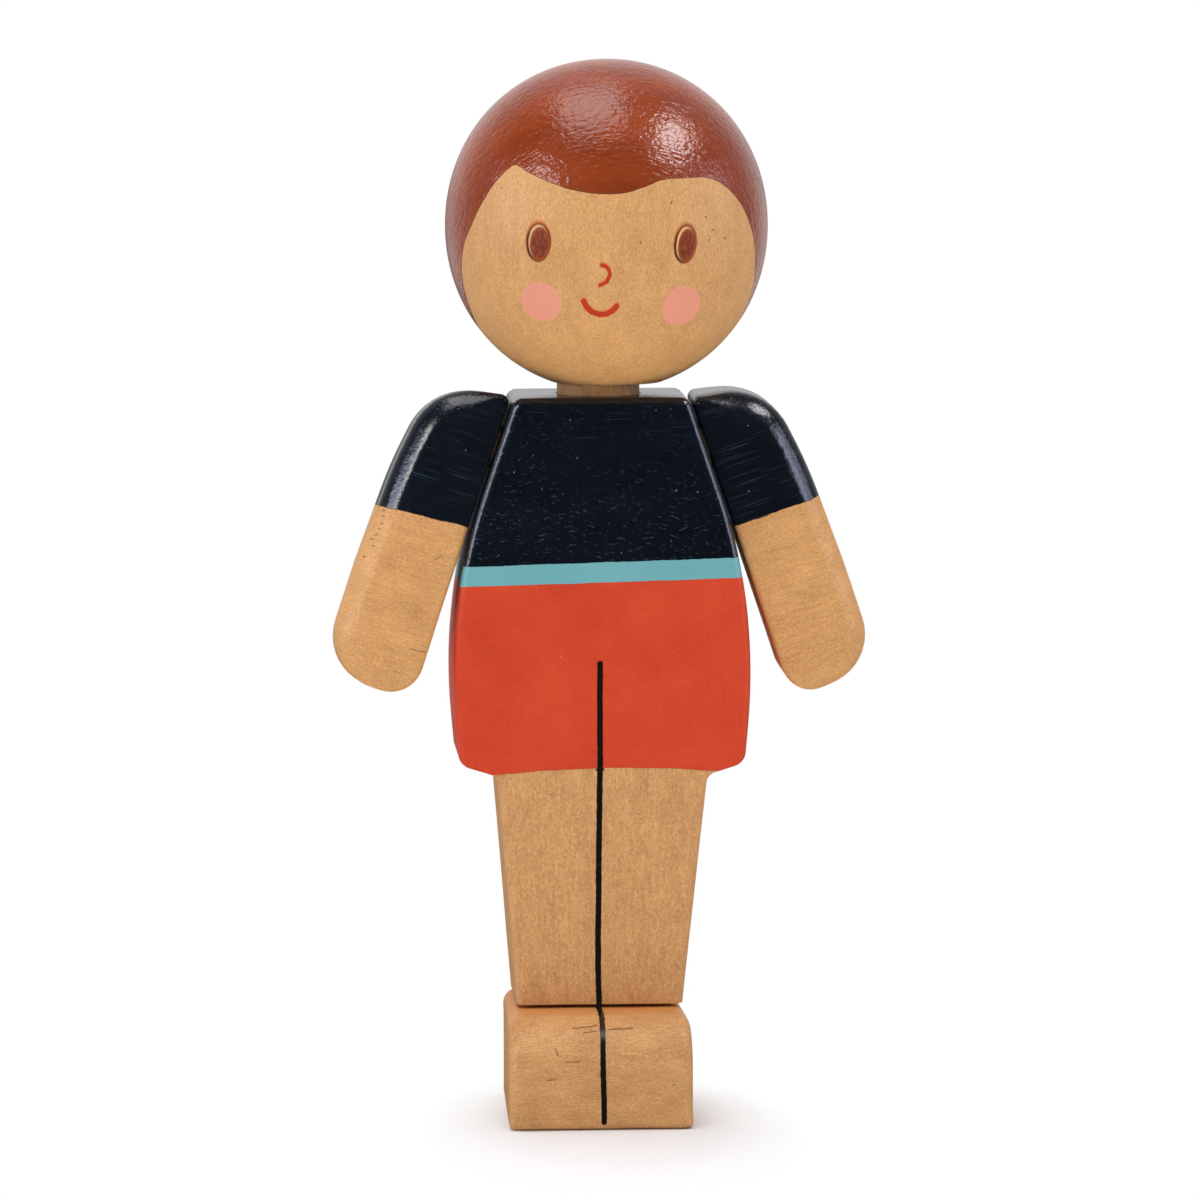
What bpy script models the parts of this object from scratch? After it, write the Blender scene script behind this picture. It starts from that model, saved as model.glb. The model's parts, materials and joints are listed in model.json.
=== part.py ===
"""Wooden toy figure: a ball head on a dowel neck, a body cut from one block, two arms that
turn on shoulder pins, and a feet block doweled under the legs.

Metres, +Z up, the floor at z = 0. The figure faces -Y, so its own left side is at +X.
The neck's axis is x = y = 0. Each size is set once below, and pieces that meet share it.
"""

import math

import bmesh
import bpy
from mathutils import Matrix, Vector

MM = 0.001

# Clearance between two pieces that touch, all round
GAP = 0.3 * MM

# Clearance that an arm needs beside the torso to swing without rubbing the paint
SHOULDER_GAP = 0.5 * MM

# Head: a turned ball, slightly taller than wide, with a flat under it for the neck
HEAD_DIAMETER = 30.0 * MM
HEAD_HALF_HEIGHT = 15.4 * MM
HEAD_FULLNESS = 2.04
HEAD_FLAT_DIAMETER = 10.2 * MM
HEAD_OFFSET = 0.8 * MM

# Neck: a dowel that is glued in the head and turns in the torso
NECK_DIAMETER = 7.7 * MM
NECK_SHOWING = 1.05 * MM
NECK_IN_HEAD = 8.0 * MM
NECK_IN_TORSO = 8.0 * MM

# Body block: torso, hips and legs, sawn from one board
BODY_THICKNESS = 12.7 * MM
TORSO_TOP_WIDTH = 16.2 * MM
TORSO_SIDE_ANGLE = math.radians(18.5)
HIP_WIDTH = 27.64 * MM
HEM_WIDTH = 26.6 * MM
LEG_TOP_WIDTH = 19.56 * MM
LEG_FOOT_WIDTH = 15.48 * MM
LEG_LEAN = -0.3 * MM
LEG_LENGTH = 21.3 * MM
HEM_RISE = 1.1 * MM
HIP_LINE_HEIGHT = 7.1 * MM
TRUNK_HEIGHT = 35.25 * MM
BODY_EDGE_RADIUS = 0.9 * MM
TORSO_CORNER_RADIUS = 1.1 * MM
WAIST_RADIUS = 52.0 * MM
HIP_RADIUS = 60.0 * MM
HEM_CORNER_RADIUS = 1.5 * MM
LEG_FILLET_RADIUS = 1.0 * MM

# Feet block: one block with a round toe edge, under the legs from heel to toe
FEET_WIDTH = 16.6 * MM
FEET_OFFSET = -0.4 * MM
FEET_HEIGHT = 10.15 * MM
TOE_REACH = 14.3 * MM
TOE_RADIUS = 4.7 * MM
HEEL_RADIUS = 0.9 * MM
SOLE_RADIUS = 0.7 * MM
FEET_EDGE_RADIUS = 1.0 * MM
SOLE_EDGE_SHARE = 0.6

# Arms: sawn from a thinner board, straight on the inside and round at the hand
ARM_LENGTH = 29.7 * MM
ARM_WIDTH = 8.4 * MM
ARM_THICKNESS = 9.5 * MM
ARM_TOP_SLOPE = 1.2 * MM
SHOULDER_WIDTH = 6.8 * MM
ELBOW_DROP = 9.5 * MM
ELBOW_WIDTH = 8.05 * MM
FOREARM_DROP = 19.0 * MM
SHOULDER_RADIUS = 6.0 * MM
ELBOW_RADIUS = 40.0 * MM
HAND_OUTER_RADIUS = 4.9 * MM
HAND_INNER_RADIUS = 3.1 * MM
ARM_TOP_CORNER_RADIUS = 0.8 * MM
ARM_EDGE_RADIUS = 1.0 * MM
ARM_INNER_EDGE_SHARE = 0.3
ARM_EDGE_RUN_OUT = 3.4 * MM

# Shoulder pins: the axis leaves the slanted side at a right angle
PIN_DIAMETER = 4.0 * MM
PIN_DROP_ON_TORSO = 5.3 * MM
PIN_DROP_ON_ARM = 5.0 * MM
PIN_IN_ARM = 4.5 * MM
BORE_WALL = 1.0 * MM

# How far each arm is swung forward of hanging straight when the figure is at rest
RIGHT_ARM_SWING = math.radians(5.0)
LEFT_ARM_SWING = math.radians(-1.0)

# Foot dowels, one under each leg
FOOT_DOWEL_DIAMETER = 3.0 * MM
FOOT_DOWEL_SPACING = 8.4 * MM
FOOT_DOWEL_IN_LEG = 5.0 * MM
FOOT_DOWEL_IN_FEET = 5.0 * MM

DOWEL_CHAMFER = 0.3 * MM

# The figure's own left is at +X
SIDE_NAMES = {-1: "right", 1: "left"}

# Facets: how far a chord may lie off its arc, how many sides a round piece has, how nearly a
# face points at the board's face to count as its cap, and how sharp an edge stays a crease
CHORD_ERROR = 0.006 * MM
EDGE_SEGMENTS = 4
HEAD_SIDES = 64
HEAD_RINGS = 34
DOWEL_SIDES = 32
WELD_DISTANCE = 0.001 * MM
FACING = 0.9
CREASE_ANGLE = math.radians(30)

# Heights that follow from the sizes above
LEG_BOTTOM = FEET_HEIGHT + GAP
LEG_TOP = LEG_BOTTOM + LEG_LENGTH
TORSO_TOP = LEG_TOP + TRUNK_HEIGHT
HEAD_BOTTOM = TORSO_TOP + NECK_SHOWING
HEAD_FLAT_SHARE = 1 - (HEAD_FLAT_DIAMETER / HEAD_DIAMETER) ** HEAD_FULLNESS
HEAD_FLAT_DROP = HEAD_HALF_HEIGHT * HEAD_FLAT_SHARE ** (1 / HEAD_FULLNESS)
HEAD_CENTRE = HEAD_BOTTOM + HEAD_FLAT_DROP
HEEL = BODY_THICKNESS / 2

BORE_OVERRUN = 1.0 * MM
NECK_BORE_RADIUS = NECK_DIAMETER / 2 + GAP
PIN_BORE_RADIUS = PIN_DIAMETER / 2 + GAP
FOOT_BORE_RADIUS = FOOT_DOWEL_DIAMETER / 2 + GAP

# Each finish: colour (linear), roughness
FINISHES = {
    "stained_wood": ((0.55, 0.33, 0.15), 0.5),
    "painted_body": ((0.005, 0.014, 0.028), 0.3),
    "bare_dowel": ((0.62, 0.45, 0.26), 0.7),
    "painted_head": ((0.50, 0.30, 0.14), 0.45),
}


def clear_scene():
    """Remove every object that the file opened with."""
    for old in list(bpy.data.objects):
        bpy.data.objects.remove(old)


def new_collection(name):
    """Make a collection under the scene's own."""
    collection = bpy.data.collections.new(name)
    bpy.context.scene.collection.children.link(collection)
    return collection


def make_finish(name):
    """Make the Principled material of one finish."""
    colour, roughness = FINISHES[name]
    material = bpy.data.materials.new(name)
    material.use_nodes = True
    shader = material.node_tree.nodes["Principled BSDF"]
    shader.inputs["Base Color"].default_value = (*colour, 1.0)
    shader.inputs["Roughness"].default_value = roughness
    shader.inputs["Metallic"].default_value = 0.0
    return material


def rounded(corners):
    """Return the points of a closed outline whose corners (x, y, radius) are rounded by arcs."""
    count = len(corners)
    points = [Vector(corner[:2]) for corner in corners]
    turns = []
    tangents = []
    for i, corner in enumerate(corners):
        arriving = (points[i] - points[i - 1]).normalized()
        leaving = (points[(i + 1) % count] - points[i]).normalized()
        turn = math.acos(max(-1.0, min(1.0, arriving.dot(leaving))))
        turns.append((arriving, leaving, turn))
        tangents.append(corner[2] * math.tan(turn / 2))
    for i in range(count):
        after = (i + 1) % count
        side = (points[after] - points[i]).length
        wanted = tangents[i] + tangents[after]
        if wanted > side:
            tangents[i] *= side / wanted
            tangents[after] *= side / wanted
    outline = []
    for point, (arriving, leaving, turn), tangent in zip(points, turns, tangents):
        if tangent < WELD_DISTANCE:
            outline.append(point)
            continue
        radius = tangent / math.tan(turn / 2)
        step = 2 * math.acos(max(0.0, 1 - CHORD_ERROR / radius))
        arcs = max(2, math.ceil(turn / step))
        start = point - arriving * tangent
        inward = (leaving - arriving * leaving.dot(arriving)).normalized()
        for k in range(arcs + 1):
            angle = turn * k / arcs
            along = arriving * radius * math.sin(angle)
            outline.append(start + along + inward * radius * (1 - math.cos(angle)))
    return [p for i, p in enumerate(outline) if (p - outline[i - 1]).length > WELD_DISTANCE]


def sawn_solid(name, corners, thickness, edge_radius, edge_share, placement, collection):
    """Saw a flat outline from a board and round its edges.

    The outline's plane is local XY and the board's thickness is local Z. edge_share gives, at a
    point of the outline, how much of edge_radius its edge takes. placement turns the solid.
    """
    curve = bpy.data.curves.new(name + "_outline", "CURVE")
    curve.dimensions = "2D"
    curve.fill_mode = "BOTH"
    curve.extrude = thickness / 2
    outline = rounded(corners)
    spline = curve.splines.new("POLY")
    spline.points.add(len(outline) - 1)
    for point, co in zip(spline.points, outline):
        point.co = (co.x, co.y, 0.0, 1.0)
    spline.use_cyclic_u = True
    guide = bpy.data.objects.new(name + "_outline", curve)
    collection.objects.link(guide)
    depsgraph = bpy.context.evaluated_depsgraph_get()
    mesh = bpy.data.meshes.new_from_object(guide.evaluated_get(depsgraph))
    bpy.data.objects.remove(guide)

    bm = bmesh.new()
    bm.from_mesh(mesh)
    bmesh.ops.remove_doubles(bm, verts=bm.verts, dist=WELD_DISTANCE)
    for side in (-1, 1):
        cap = [face for face in bm.faces if face.normal.z * side > FACING]
        bmesh.ops.dissolve_faces(bm, faces=cap)
    weight = bm.edges.layers.float.new("bevel_weight_edge")
    for edge in bm.edges:
        first, second = (vert.co for vert in edge.verts)
        if abs(first.z - second.z) < WELD_DISTANCE:
            middle = (first + second) / 2
            edge[weight] = edge_share(middle.x, middle.y)
    bmesh.ops.transform(bm, matrix=placement, verts=bm.verts)
    bmesh.ops.recalc_face_normals(bm, faces=bm.faces)
    bm.to_mesh(mesh)
    bm.free()

    solid = bpy.data.objects.new(name, mesh)
    collection.objects.link(solid)
    rounding = solid.modifiers.new("Rounded edges", "BEVEL")
    rounding.limit_method = "WEIGHT"
    rounding.width = edge_radius
    rounding.segments = EDGE_SEGMENTS
    rounding.use_clamp_overlap = False
    return solid


def shaved_solid(name, corners, thickness, edge_radius, edge_share, collection):
    """Saw an upright outline (x, z) from a board and shave its edges, some more than others.

    Each point of the outline is rounded by its own share of edge_radius, so the solid is a loft
    through insets of the outline, from the front face round to the back one.
    """
    outline = rounded(corners)
    count = len(outline)
    inward = []
    for i, point in enumerate(outline):
        along = outline[(i + 1) % count] - outline[i - 1]
        inward.append(Vector((-along.y, along.x)).normalized())
    bm = bmesh.new()
    rings = []
    for side in (-1, 1):
        for k in range(EDGE_SEGMENTS + 1):
            angle = math.radians(90) * k / EDGE_SEGMENTS
            angle = math.radians(90) - angle if side < 0 else angle
            ring = []
            for point, normal in zip(outline, inward):
                radius = edge_radius * edge_share(point.x)
                inset = point + normal * radius * (1 - math.cos(angle))
                depth = thickness / 2 - radius * (1 - math.sin(angle))
                ring.append(bm.verts.new((inset.x, side * depth, inset.y)))
            rings.append(ring)
    for near, far in zip(rings, rings[1:]):
        for i in range(count):
            bm.faces.new((near[i - 1], near[i], far[i], far[i - 1]))
    bm.faces.new(rings[0])
    bm.faces.new(rings[-1])
    bmesh.ops.recalc_face_normals(bm, faces=bm.faces)
    mesh = bpy.data.meshes.new(name)
    bm.to_mesh(mesh)
    bm.free()
    solid = bpy.data.objects.new(name, mesh)
    collection.objects.link(solid)
    return solid


def dowel(name, radius, length, collection, chamfer=0.0):
    """Turn a dowel along its local Z, centred on its origin."""
    bm = bmesh.new()
    bmesh.ops.create_cone(
        bm, cap_ends=True, segments=DOWEL_SIDES, radius1=radius, radius2=radius, depth=length
    )
    if chamfer:
        rims = [edge for edge in bm.edges if len({round(v.co.z, 6) for v in edge.verts}) == 1]
        bmesh.ops.bevel(bm, geom=rims, offset=chamfer, segments=1, affect="EDGES")
    mesh = bpy.data.meshes.new(name)
    bm.to_mesh(mesh)
    bm.free()
    turned = bpy.data.objects.new(name, mesh)
    collection.objects.link(turned)
    return turned


def drill(solid, name, radius, mouth, direction, depth, cutters):
    """Drill a blind hole into solid, from its mouth along direction, to depth."""
    bit = dowel(name, radius, depth + BORE_OVERRUN, cutters)
    bit.matrix_world = aimed(mouth + direction * (depth - BORE_OVERRUN) / 2, direction)
    bit.display_type = "WIRE"
    bit.hide_render = True
    hole = solid.modifiers.new(name, "BOOLEAN")
    hole.operation = "DIFFERENCE"
    hole.solver = "EXACT"
    hole.object = bit


def aimed(centre, direction):
    """Return the matrix that puts a piece at centre with its local Z along direction."""
    return Matrix.Translation(centre) @ direction.to_track_quat("Z", "Y").to_matrix().to_4x4()


def finish(solid, material):
    """Give a solid its material and shade its round stretches smooth."""
    solid.data.materials.clear()
    solid.data.materials.append(material)
    solid.data.shade_smooth()
    solid.data.set_sharp_from_angle(angle=CREASE_ANGLE)


def body_corners():
    """Return the body block's outline as seen from the front: x, z and corner radius."""
    hip = HIP_WIDTH / 2
    waist_drop = (hip - TORSO_TOP_WIDTH / 2) / math.tan(TORSO_SIDE_ANGLE)
    right = [
        (TORSO_TOP_WIDTH / 2, TORSO_TOP, TORSO_CORNER_RADIUS),
        (hip, TORSO_TOP - waist_drop, WAIST_RADIUS),
        (hip, LEG_TOP + HIP_LINE_HEIGHT, HIP_RADIUS),
        (HEM_WIDTH / 2, LEG_TOP + HEM_RISE, HEM_CORNER_RADIUS),
        (LEG_TOP_WIDTH / 2, LEG_TOP, LEG_FILLET_RADIUS),
    ]
    left = [(-x, z, radius) for x, z, radius in reversed(right)]
    foot = [(LEG_LEAN + side * LEG_FOOT_WIDTH / 2, LEG_BOTTOM, 0.0) for side in (1, -1)]
    return right + foot + left


def make_body(parts, cutters):
    """Saw the body block and drill it for the neck, the shoulder pins and the foot dowels."""

    def edge_share(x, z):
        return 0.0 if z < LEG_BOTTOM + WELD_DISTANCE else 1.0

    upright = Matrix.Rotation(math.radians(90), 4, "X")
    body = sawn_solid(
        "body_block", body_corners(), BODY_THICKNESS, BODY_EDGE_RADIUS, edge_share, upright, parts
    )
    down = Vector((0, 0, -1))
    mouth = Vector((0, 0, TORSO_TOP))
    drill(body, "neck_bore", NECK_BORE_RADIUS, mouth, down, NECK_IN_TORSO, cutters)
    for side in (-1, 1):
        mouth = shoulder_on_torso(side)
        inward = -shoulder_axis(side)
        name = "shoulder_bore_" + SIDE_NAMES[side]
        drill(body, name, PIN_BORE_RADIUS, mouth, inward, pin_in_torso(), cutters)
        mouth = Vector((side * FOOT_DOWEL_SPACING / 2, 0, LEG_BOTTOM))
        name = "leg_bore_" + SIDE_NAMES[side]
        drill(body, name, FOOT_BORE_RADIUS, mouth, -down, FOOT_DOWEL_IN_LEG, cutters)
    return body


def make_feet(parts, cutters):
    """Saw the feet block, with its round toe edge, and drill it for the two dowels."""
    corners = [
        (-TOE_REACH, 0.0, SOLE_RADIUS),
        (HEEL, 0.0, SOLE_RADIUS),
        (HEEL, FEET_HEIGHT, HEEL_RADIUS),
        (-TOE_REACH, FEET_HEIGHT, TOE_RADIUS),
    ]
    sideways = Matrix(((0, 0, 1, FEET_OFFSET), (1, 0, 0, 0), (0, 1, 0, 0), (0, 0, 0, 1)))
    feet = sawn_solid(
        "feet_block", corners, FEET_WIDTH, FEET_EDGE_RADIUS, feet_edge_share, sideways, parts
    )
    down = Vector((0, 0, -1))
    for side in (-1, 1):
        mouth = Vector((side * FOOT_DOWEL_SPACING / 2, 0, FEET_HEIGHT))
        name = "feet_bore_" + SIDE_NAMES[side]
        drill(feet, name, FOOT_BORE_RADIUS, mouth, down, FOOT_DOWEL_IN_FEET, cutters)
    return feet


def feet_edge_share(y, z):
    """The sole's long edges are barely rounded, the others fully."""
    return SOLE_EDGE_SHARE if z < WELD_DISTANCE else 1.0


def make_head(parts, cutters, neck_joint):
    """Turn the ball head, with the flat under it, and drill it for the neck."""
    half_width = HEAD_DIAMETER / 2
    lowest = math.asin(HEAD_FLAT_DROP / HEAD_HALF_HEIGHT)
    profile = [Vector((0.0, 0.0, HEAD_HALF_HEIGHT))]
    for k in range(1, HEAD_RINGS + 1):
        angle = math.pi / 2 - (math.pi / 2 + lowest) * k / HEAD_RINGS
        z = HEAD_HALF_HEIGHT * math.sin(angle)
        share = abs(z / HEAD_HALF_HEIGHT) ** HEAD_FULLNESS
        profile.append(Vector((half_width * (1 - share) ** (1 / HEAD_FULLNESS), 0.0, z)))
    profile.append(Vector((0.0, 0.0, profile[-1].z)))

    mesh = bpy.data.meshes.new("head_ball")
    mesh.from_pydata(profile, [(k, k + 1) for k in range(len(profile) - 1)], [])
    head = bpy.data.objects.new("head_ball", mesh)
    parts.objects.link(head)
    turning = head.modifiers.new("Turned on the lathe", "SCREW")
    turning.axis = "Z"
    turning.steps = HEAD_SIDES
    turning.render_steps = HEAD_SIDES
    turning.use_merge_vertices = True
    turning.merge_threshold = WELD_DISTANCE
    turning.use_smooth_shade = True
    head.parent = neck_joint
    head.location = (HEAD_OFFSET, 0.0, HEAD_CENTRE - neck_joint.location.z)
    mouth = Vector((0, 0, HEAD_BOTTOM))
    drill(head, "head_bore", NECK_BORE_RADIUS, mouth, Vector((0, 0, 1)), NECK_IN_HEAD, cutters)
    return head


def arm_corners(side):
    """Return an arm's outline: x from its inner face, z up from its pin, and corner radius."""
    run = [
        (0.0, 0.0, ARM_TOP_CORNER_RADIUS),
        (0.0, ARM_LENGTH, HAND_INNER_RADIUS),
        (ARM_WIDTH, ARM_LENGTH, HAND_OUTER_RADIUS),
        (ARM_WIDTH, FOREARM_DROP, ELBOW_RADIUS),
        (ELBOW_WIDTH, ELBOW_DROP, ELBOW_RADIUS),
        (SHOULDER_WIDTH, ARM_TOP_SLOPE, SHOULDER_RADIUS),
    ]
    return [(side * out, PIN_DROP_ON_ARM - drop, radius) for out, drop, radius in run[::side]]


def arm_edge_share(x):
    """The inner face's edges are nearly sharp and the outer ones are fully rounded."""
    share = min(1.0, abs(x) / ARM_EDGE_RUN_OUT)
    eased = share * share * (3 - 2 * share)
    return ARM_INNER_EDGE_SHARE + (1 - ARM_INNER_EDGE_SHARE) * eased


def make_arm(side, swing, parts, cutters):
    """Saw one arm, drill its inner face for the pin and hang it at its shoulder joint."""
    name = SIDE_NAMES[side]
    joint = bpy.data.objects.new(name + "_shoulder_joint", None)
    parts.objects.link(joint)
    joint.location = shoulder_on_torso(side) + shoulder_axis(side) * SHOULDER_GAP
    tilt = Matrix.Rotation(-side * TORSO_SIDE_ANGLE, 3, "Y")
    joint.rotation_euler = (tilt @ Matrix.Rotation(-swing, 3, "X")).to_euler()

    arm = shaved_solid(
        name + "_arm", arm_corners(side), ARM_THICKNESS, ARM_EDGE_RADIUS, arm_edge_share, parts
    )
    arm.parent = joint
    mouth = Vector(joint.location)
    outward = shoulder_axis(side)
    drill(arm, name + "_arm_bore", PIN_BORE_RADIUS, mouth, outward, PIN_IN_ARM, cutters)

    inner_end = GAP - SHOULDER_GAP - pin_in_torso()
    outer_end = PIN_IN_ARM - GAP
    length = outer_end - inner_end
    pin = dowel(name + "_shoulder_pin", PIN_DIAMETER / 2, length, parts, DOWEL_CHAMFER)
    pin.parent = joint
    pin.location.x = side * (inner_end + outer_end) / 2
    pin.rotation_euler.y = math.radians(90)
    return arm, pin


def shoulder_axis(side):
    """Return the direction that a shoulder pin leaves the torso's slanted side in."""
    return Vector((side * math.cos(TORSO_SIDE_ANGLE), 0.0, math.sin(TORSO_SIDE_ANGLE)))


def shoulder_on_torso(side):
    """Return the point of the torso's side that the shoulder pin goes through."""
    x = TORSO_TOP_WIDTH / 2 + PIN_DROP_ON_TORSO * math.sin(TORSO_SIDE_ANGLE)
    z = TORSO_TOP - PIN_DROP_ON_TORSO * math.cos(TORSO_SIDE_ANGLE)
    return Vector((side * x, 0.0, z))


def pin_in_torso():
    """Return how deep the shoulder bores go: to a wall's thickness from the neck's bore."""
    reach = shoulder_on_torso(1).x - PIN_BORE_RADIUS * math.sin(TORSO_SIDE_ANGLE)
    return (reach - NECK_BORE_RADIUS - BORE_WALL) / math.cos(TORSO_SIDE_ANGLE)


def make_neck(parts, neck_joint):
    """Cut the neck dowel to reach from one bore's bottom to the other's."""
    bottom = TORSO_TOP - NECK_IN_TORSO + GAP
    top = HEAD_BOTTOM + NECK_IN_HEAD - GAP
    neck = dowel("neck_dowel", NECK_DIAMETER / 2, top - bottom, parts, DOWEL_CHAMFER)
    neck.parent = neck_joint
    neck.location.z = (top + bottom) / 2 - neck_joint.location.z
    return neck


def make_foot_dowels(parts):
    """Cut the two dowels that hold the feet block under the legs."""
    bottom = FEET_HEIGHT - FOOT_DOWEL_IN_FEET + GAP
    top = LEG_BOTTOM + FOOT_DOWEL_IN_LEG - GAP
    dowels = []
    for side in (-1, 1):
        name = SIDE_NAMES[side] + "_foot_dowel"
        pin = dowel(name, FOOT_DOWEL_DIAMETER / 2, top - bottom, parts, DOWEL_CHAMFER)
        pin.location = (side * FOOT_DOWEL_SPACING / 2, 0.0, (top + bottom) / 2)
        dowels.append(pin)
    return dowels


def main():
    """Build the figure at rest."""
    clear_scene()
    parts = new_collection("wooden_toy_figure")
    cutters = new_collection("cutters")
    finishes = {name: make_finish(name) for name in FINISHES}

    neck_joint = bpy.data.objects.new("neck_joint", None)
    parts.objects.link(neck_joint)
    neck_joint.location = (0.0, 0.0, TORSO_TOP)

    finish(make_body(parts, cutters), finishes["painted_body"])
    finish(make_feet(parts, cutters), finishes["stained_wood"])
    finish(make_head(parts, cutters, neck_joint), finishes["painted_head"])
    finish(make_neck(parts, neck_joint), finishes["stained_wood"])
    for side, swing in ((-1, RIGHT_ARM_SWING), (1, LEFT_ARM_SWING)):
        arm, pin = make_arm(side, swing, parts, cutters)
        finish(arm, finishes["painted_body"])
        finish(pin, finishes["bare_dowel"])
    for pin in make_foot_dowels(parts):
        finish(pin, finishes["bare_dowel"])


main()
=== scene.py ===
"""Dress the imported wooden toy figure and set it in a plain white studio.

The figure is beech: a turned ball head on a dowel neck, a body sawn from one board, two arms on
shoulder pins and a feet block. The wood is stained a skin colour and painted by hand in enamel.

Metres, +Z up, the floor at z = 0. The figure faces -Y, so its own left side is at +X. A paint
edge is given in the coordinates of the piece that it is on, in millimetres.
"""

import json
import logging
import math
from collections.abc import Callable
from dataclasses import dataclass, replace
from enum import Enum

import bmesh
import bpy
from mathutils import Matrix, Vector, noise

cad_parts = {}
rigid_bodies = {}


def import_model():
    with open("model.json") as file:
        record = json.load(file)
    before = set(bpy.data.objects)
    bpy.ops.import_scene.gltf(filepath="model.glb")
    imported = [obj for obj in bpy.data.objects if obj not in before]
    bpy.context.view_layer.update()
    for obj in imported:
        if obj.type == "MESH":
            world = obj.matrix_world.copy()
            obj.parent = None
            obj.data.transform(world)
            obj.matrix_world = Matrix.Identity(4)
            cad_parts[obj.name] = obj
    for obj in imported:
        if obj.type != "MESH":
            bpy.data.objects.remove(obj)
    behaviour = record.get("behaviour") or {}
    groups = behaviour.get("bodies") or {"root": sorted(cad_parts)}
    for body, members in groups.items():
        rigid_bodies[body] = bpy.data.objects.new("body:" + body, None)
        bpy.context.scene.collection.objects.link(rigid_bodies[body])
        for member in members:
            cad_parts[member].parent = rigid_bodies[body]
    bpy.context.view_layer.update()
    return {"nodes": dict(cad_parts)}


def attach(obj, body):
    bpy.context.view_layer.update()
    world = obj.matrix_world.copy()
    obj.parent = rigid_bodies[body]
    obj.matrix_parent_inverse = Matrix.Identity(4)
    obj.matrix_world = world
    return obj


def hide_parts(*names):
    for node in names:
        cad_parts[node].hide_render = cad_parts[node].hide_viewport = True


log = logging.getLogger("wooden_toy_figure")

MM = 0.001

# One point of a drawing on a piece's front: across and up, in millimetres
Point = tuple[float, float]

# A corner of a closed outline: its two coordinates and its radius, in millimetres
Corner = tuple[float, float, float]

# What a node's input takes: a plain value or another node's output
Wire = bpy.types.NodeSocket | float | tuple

# Gives a number, such as an edge's radius, at a point of an outline
AtPoint = Callable[[Vector], float]

# Two points of a mesh that are nearer to each other than this, in millimetres, are one
WELD = 1e-4

# The angle between two faces, in degrees, beyond which an edge is shown as sharp
SHARP_ANGLE = 32

# The colours of what is drawn, printed or worn in, and of the light painted on
CRACK = "#5a4028"  # A crack's shadow in stained beech
ARM_PORE = "#6b4a30"  # The open pores of the arms' end grain
FACE_PORE = "#4a3320"  # The pores of the face, which took the most stain
PAINTED_BOUNCE_LIGHT = "#dd9344"  # Painted light: the lit flat top of the feet, warmed by light reflected from the legs
TORSO_GLINT_AND_SCUFF = "#3d5068"  # Painted glints along the torso's brush wisps, and the tint of its faint scratches
COOL_DUST = "#8d95a6"  # Dust in the torso's enamel, of one kind
WARM_DUST = "#a3828a"  # And of another
SLEEVE_GLINT_AND_SCUFF = "#33455a"  # Painted glints along the sleeves' brush marks, over their scuffs
SLEEVE_DUST = "#8d97a8"  # Dust in the sleeves' enamel
SHORTS_DUST = "#e8a093"  # Dust in the shorts' enamel
EYE_FRINGE = "#cf7e35"  # Where the eyes' ink ran a little into the wood
EYE_RIM = "#55250a"  # The eyes' rim, low down
EYE_RIM_TOP = "#a0541a"  # And at its worn top
EYE_LIGHT = "#ecbd80"  # The light crescent in the eyes, which is nearly bare wood
EYE_FILL = "#6e2708"  # The eyes' fill
EYE_STREAK = "#b5540f"  # The rusty streaks where it printed thin
STROKE_FRINGE = "#d87f3a"  # Where the nose's and the mouth's ink ran into the wood
NOSE_RED = "#c0300c"  # The nose's ink
MOUTH_RED = "#bd3210"  # The mouth's ink
ROUGE = "#e4967f"  # The cheeks' ink
HAIR_EDGE = "#5d2c22"  # The dark edge of the hair's enamel

# How far a drill bit stands out of its hole's mouth, in millimetres, and how many sides it has
BIT_OVERRUN = 1.0
BIT_SIDES = 48


class Side(Enum):
    """The figure's own side that a piece is on, as the sign of its x."""

    LEFT = 1
    RIGHT = -1

    @property
    def word(self) -> str:
        """Name the side as the frame's nodes do."""
        return self.name.lower()


class Run(Enum):
    """Which way a pattern is drawn out, as the axes that take its length."""

    UPRIGHT = (0, 0, 1)
    ACROSS = (1, 0, 0)
    ROUND = (1, 0, 1)
    EVEN = (0, 0, 0)


class Duty(Enum):
    """What a lamp does: it lights the figure, shows in its gloss, or both."""

    BOTH = (True, True)
    FILL = (True, False)
    SHEEN = (False, True)


def linear(code: str) -> tuple[float, float, float, float]:
    """Turn an sRGB hex colour into the linear values that Blender's colour sockets take.

    Args:
        code: Six hex digits after a hash sign.

    Returns:
        Red, green and blue from 0 to 1, and an alpha of 1.
    """
    shares = [int(code[i : i + 2], 16) / 255 for i in (1, 3, 5)]
    turned = [s / 12.92 if s <= 0.04045 else ((s + 0.055) / 1.055) ** 2.4 for s in shares]
    return (*turned, 1.0)


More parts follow.
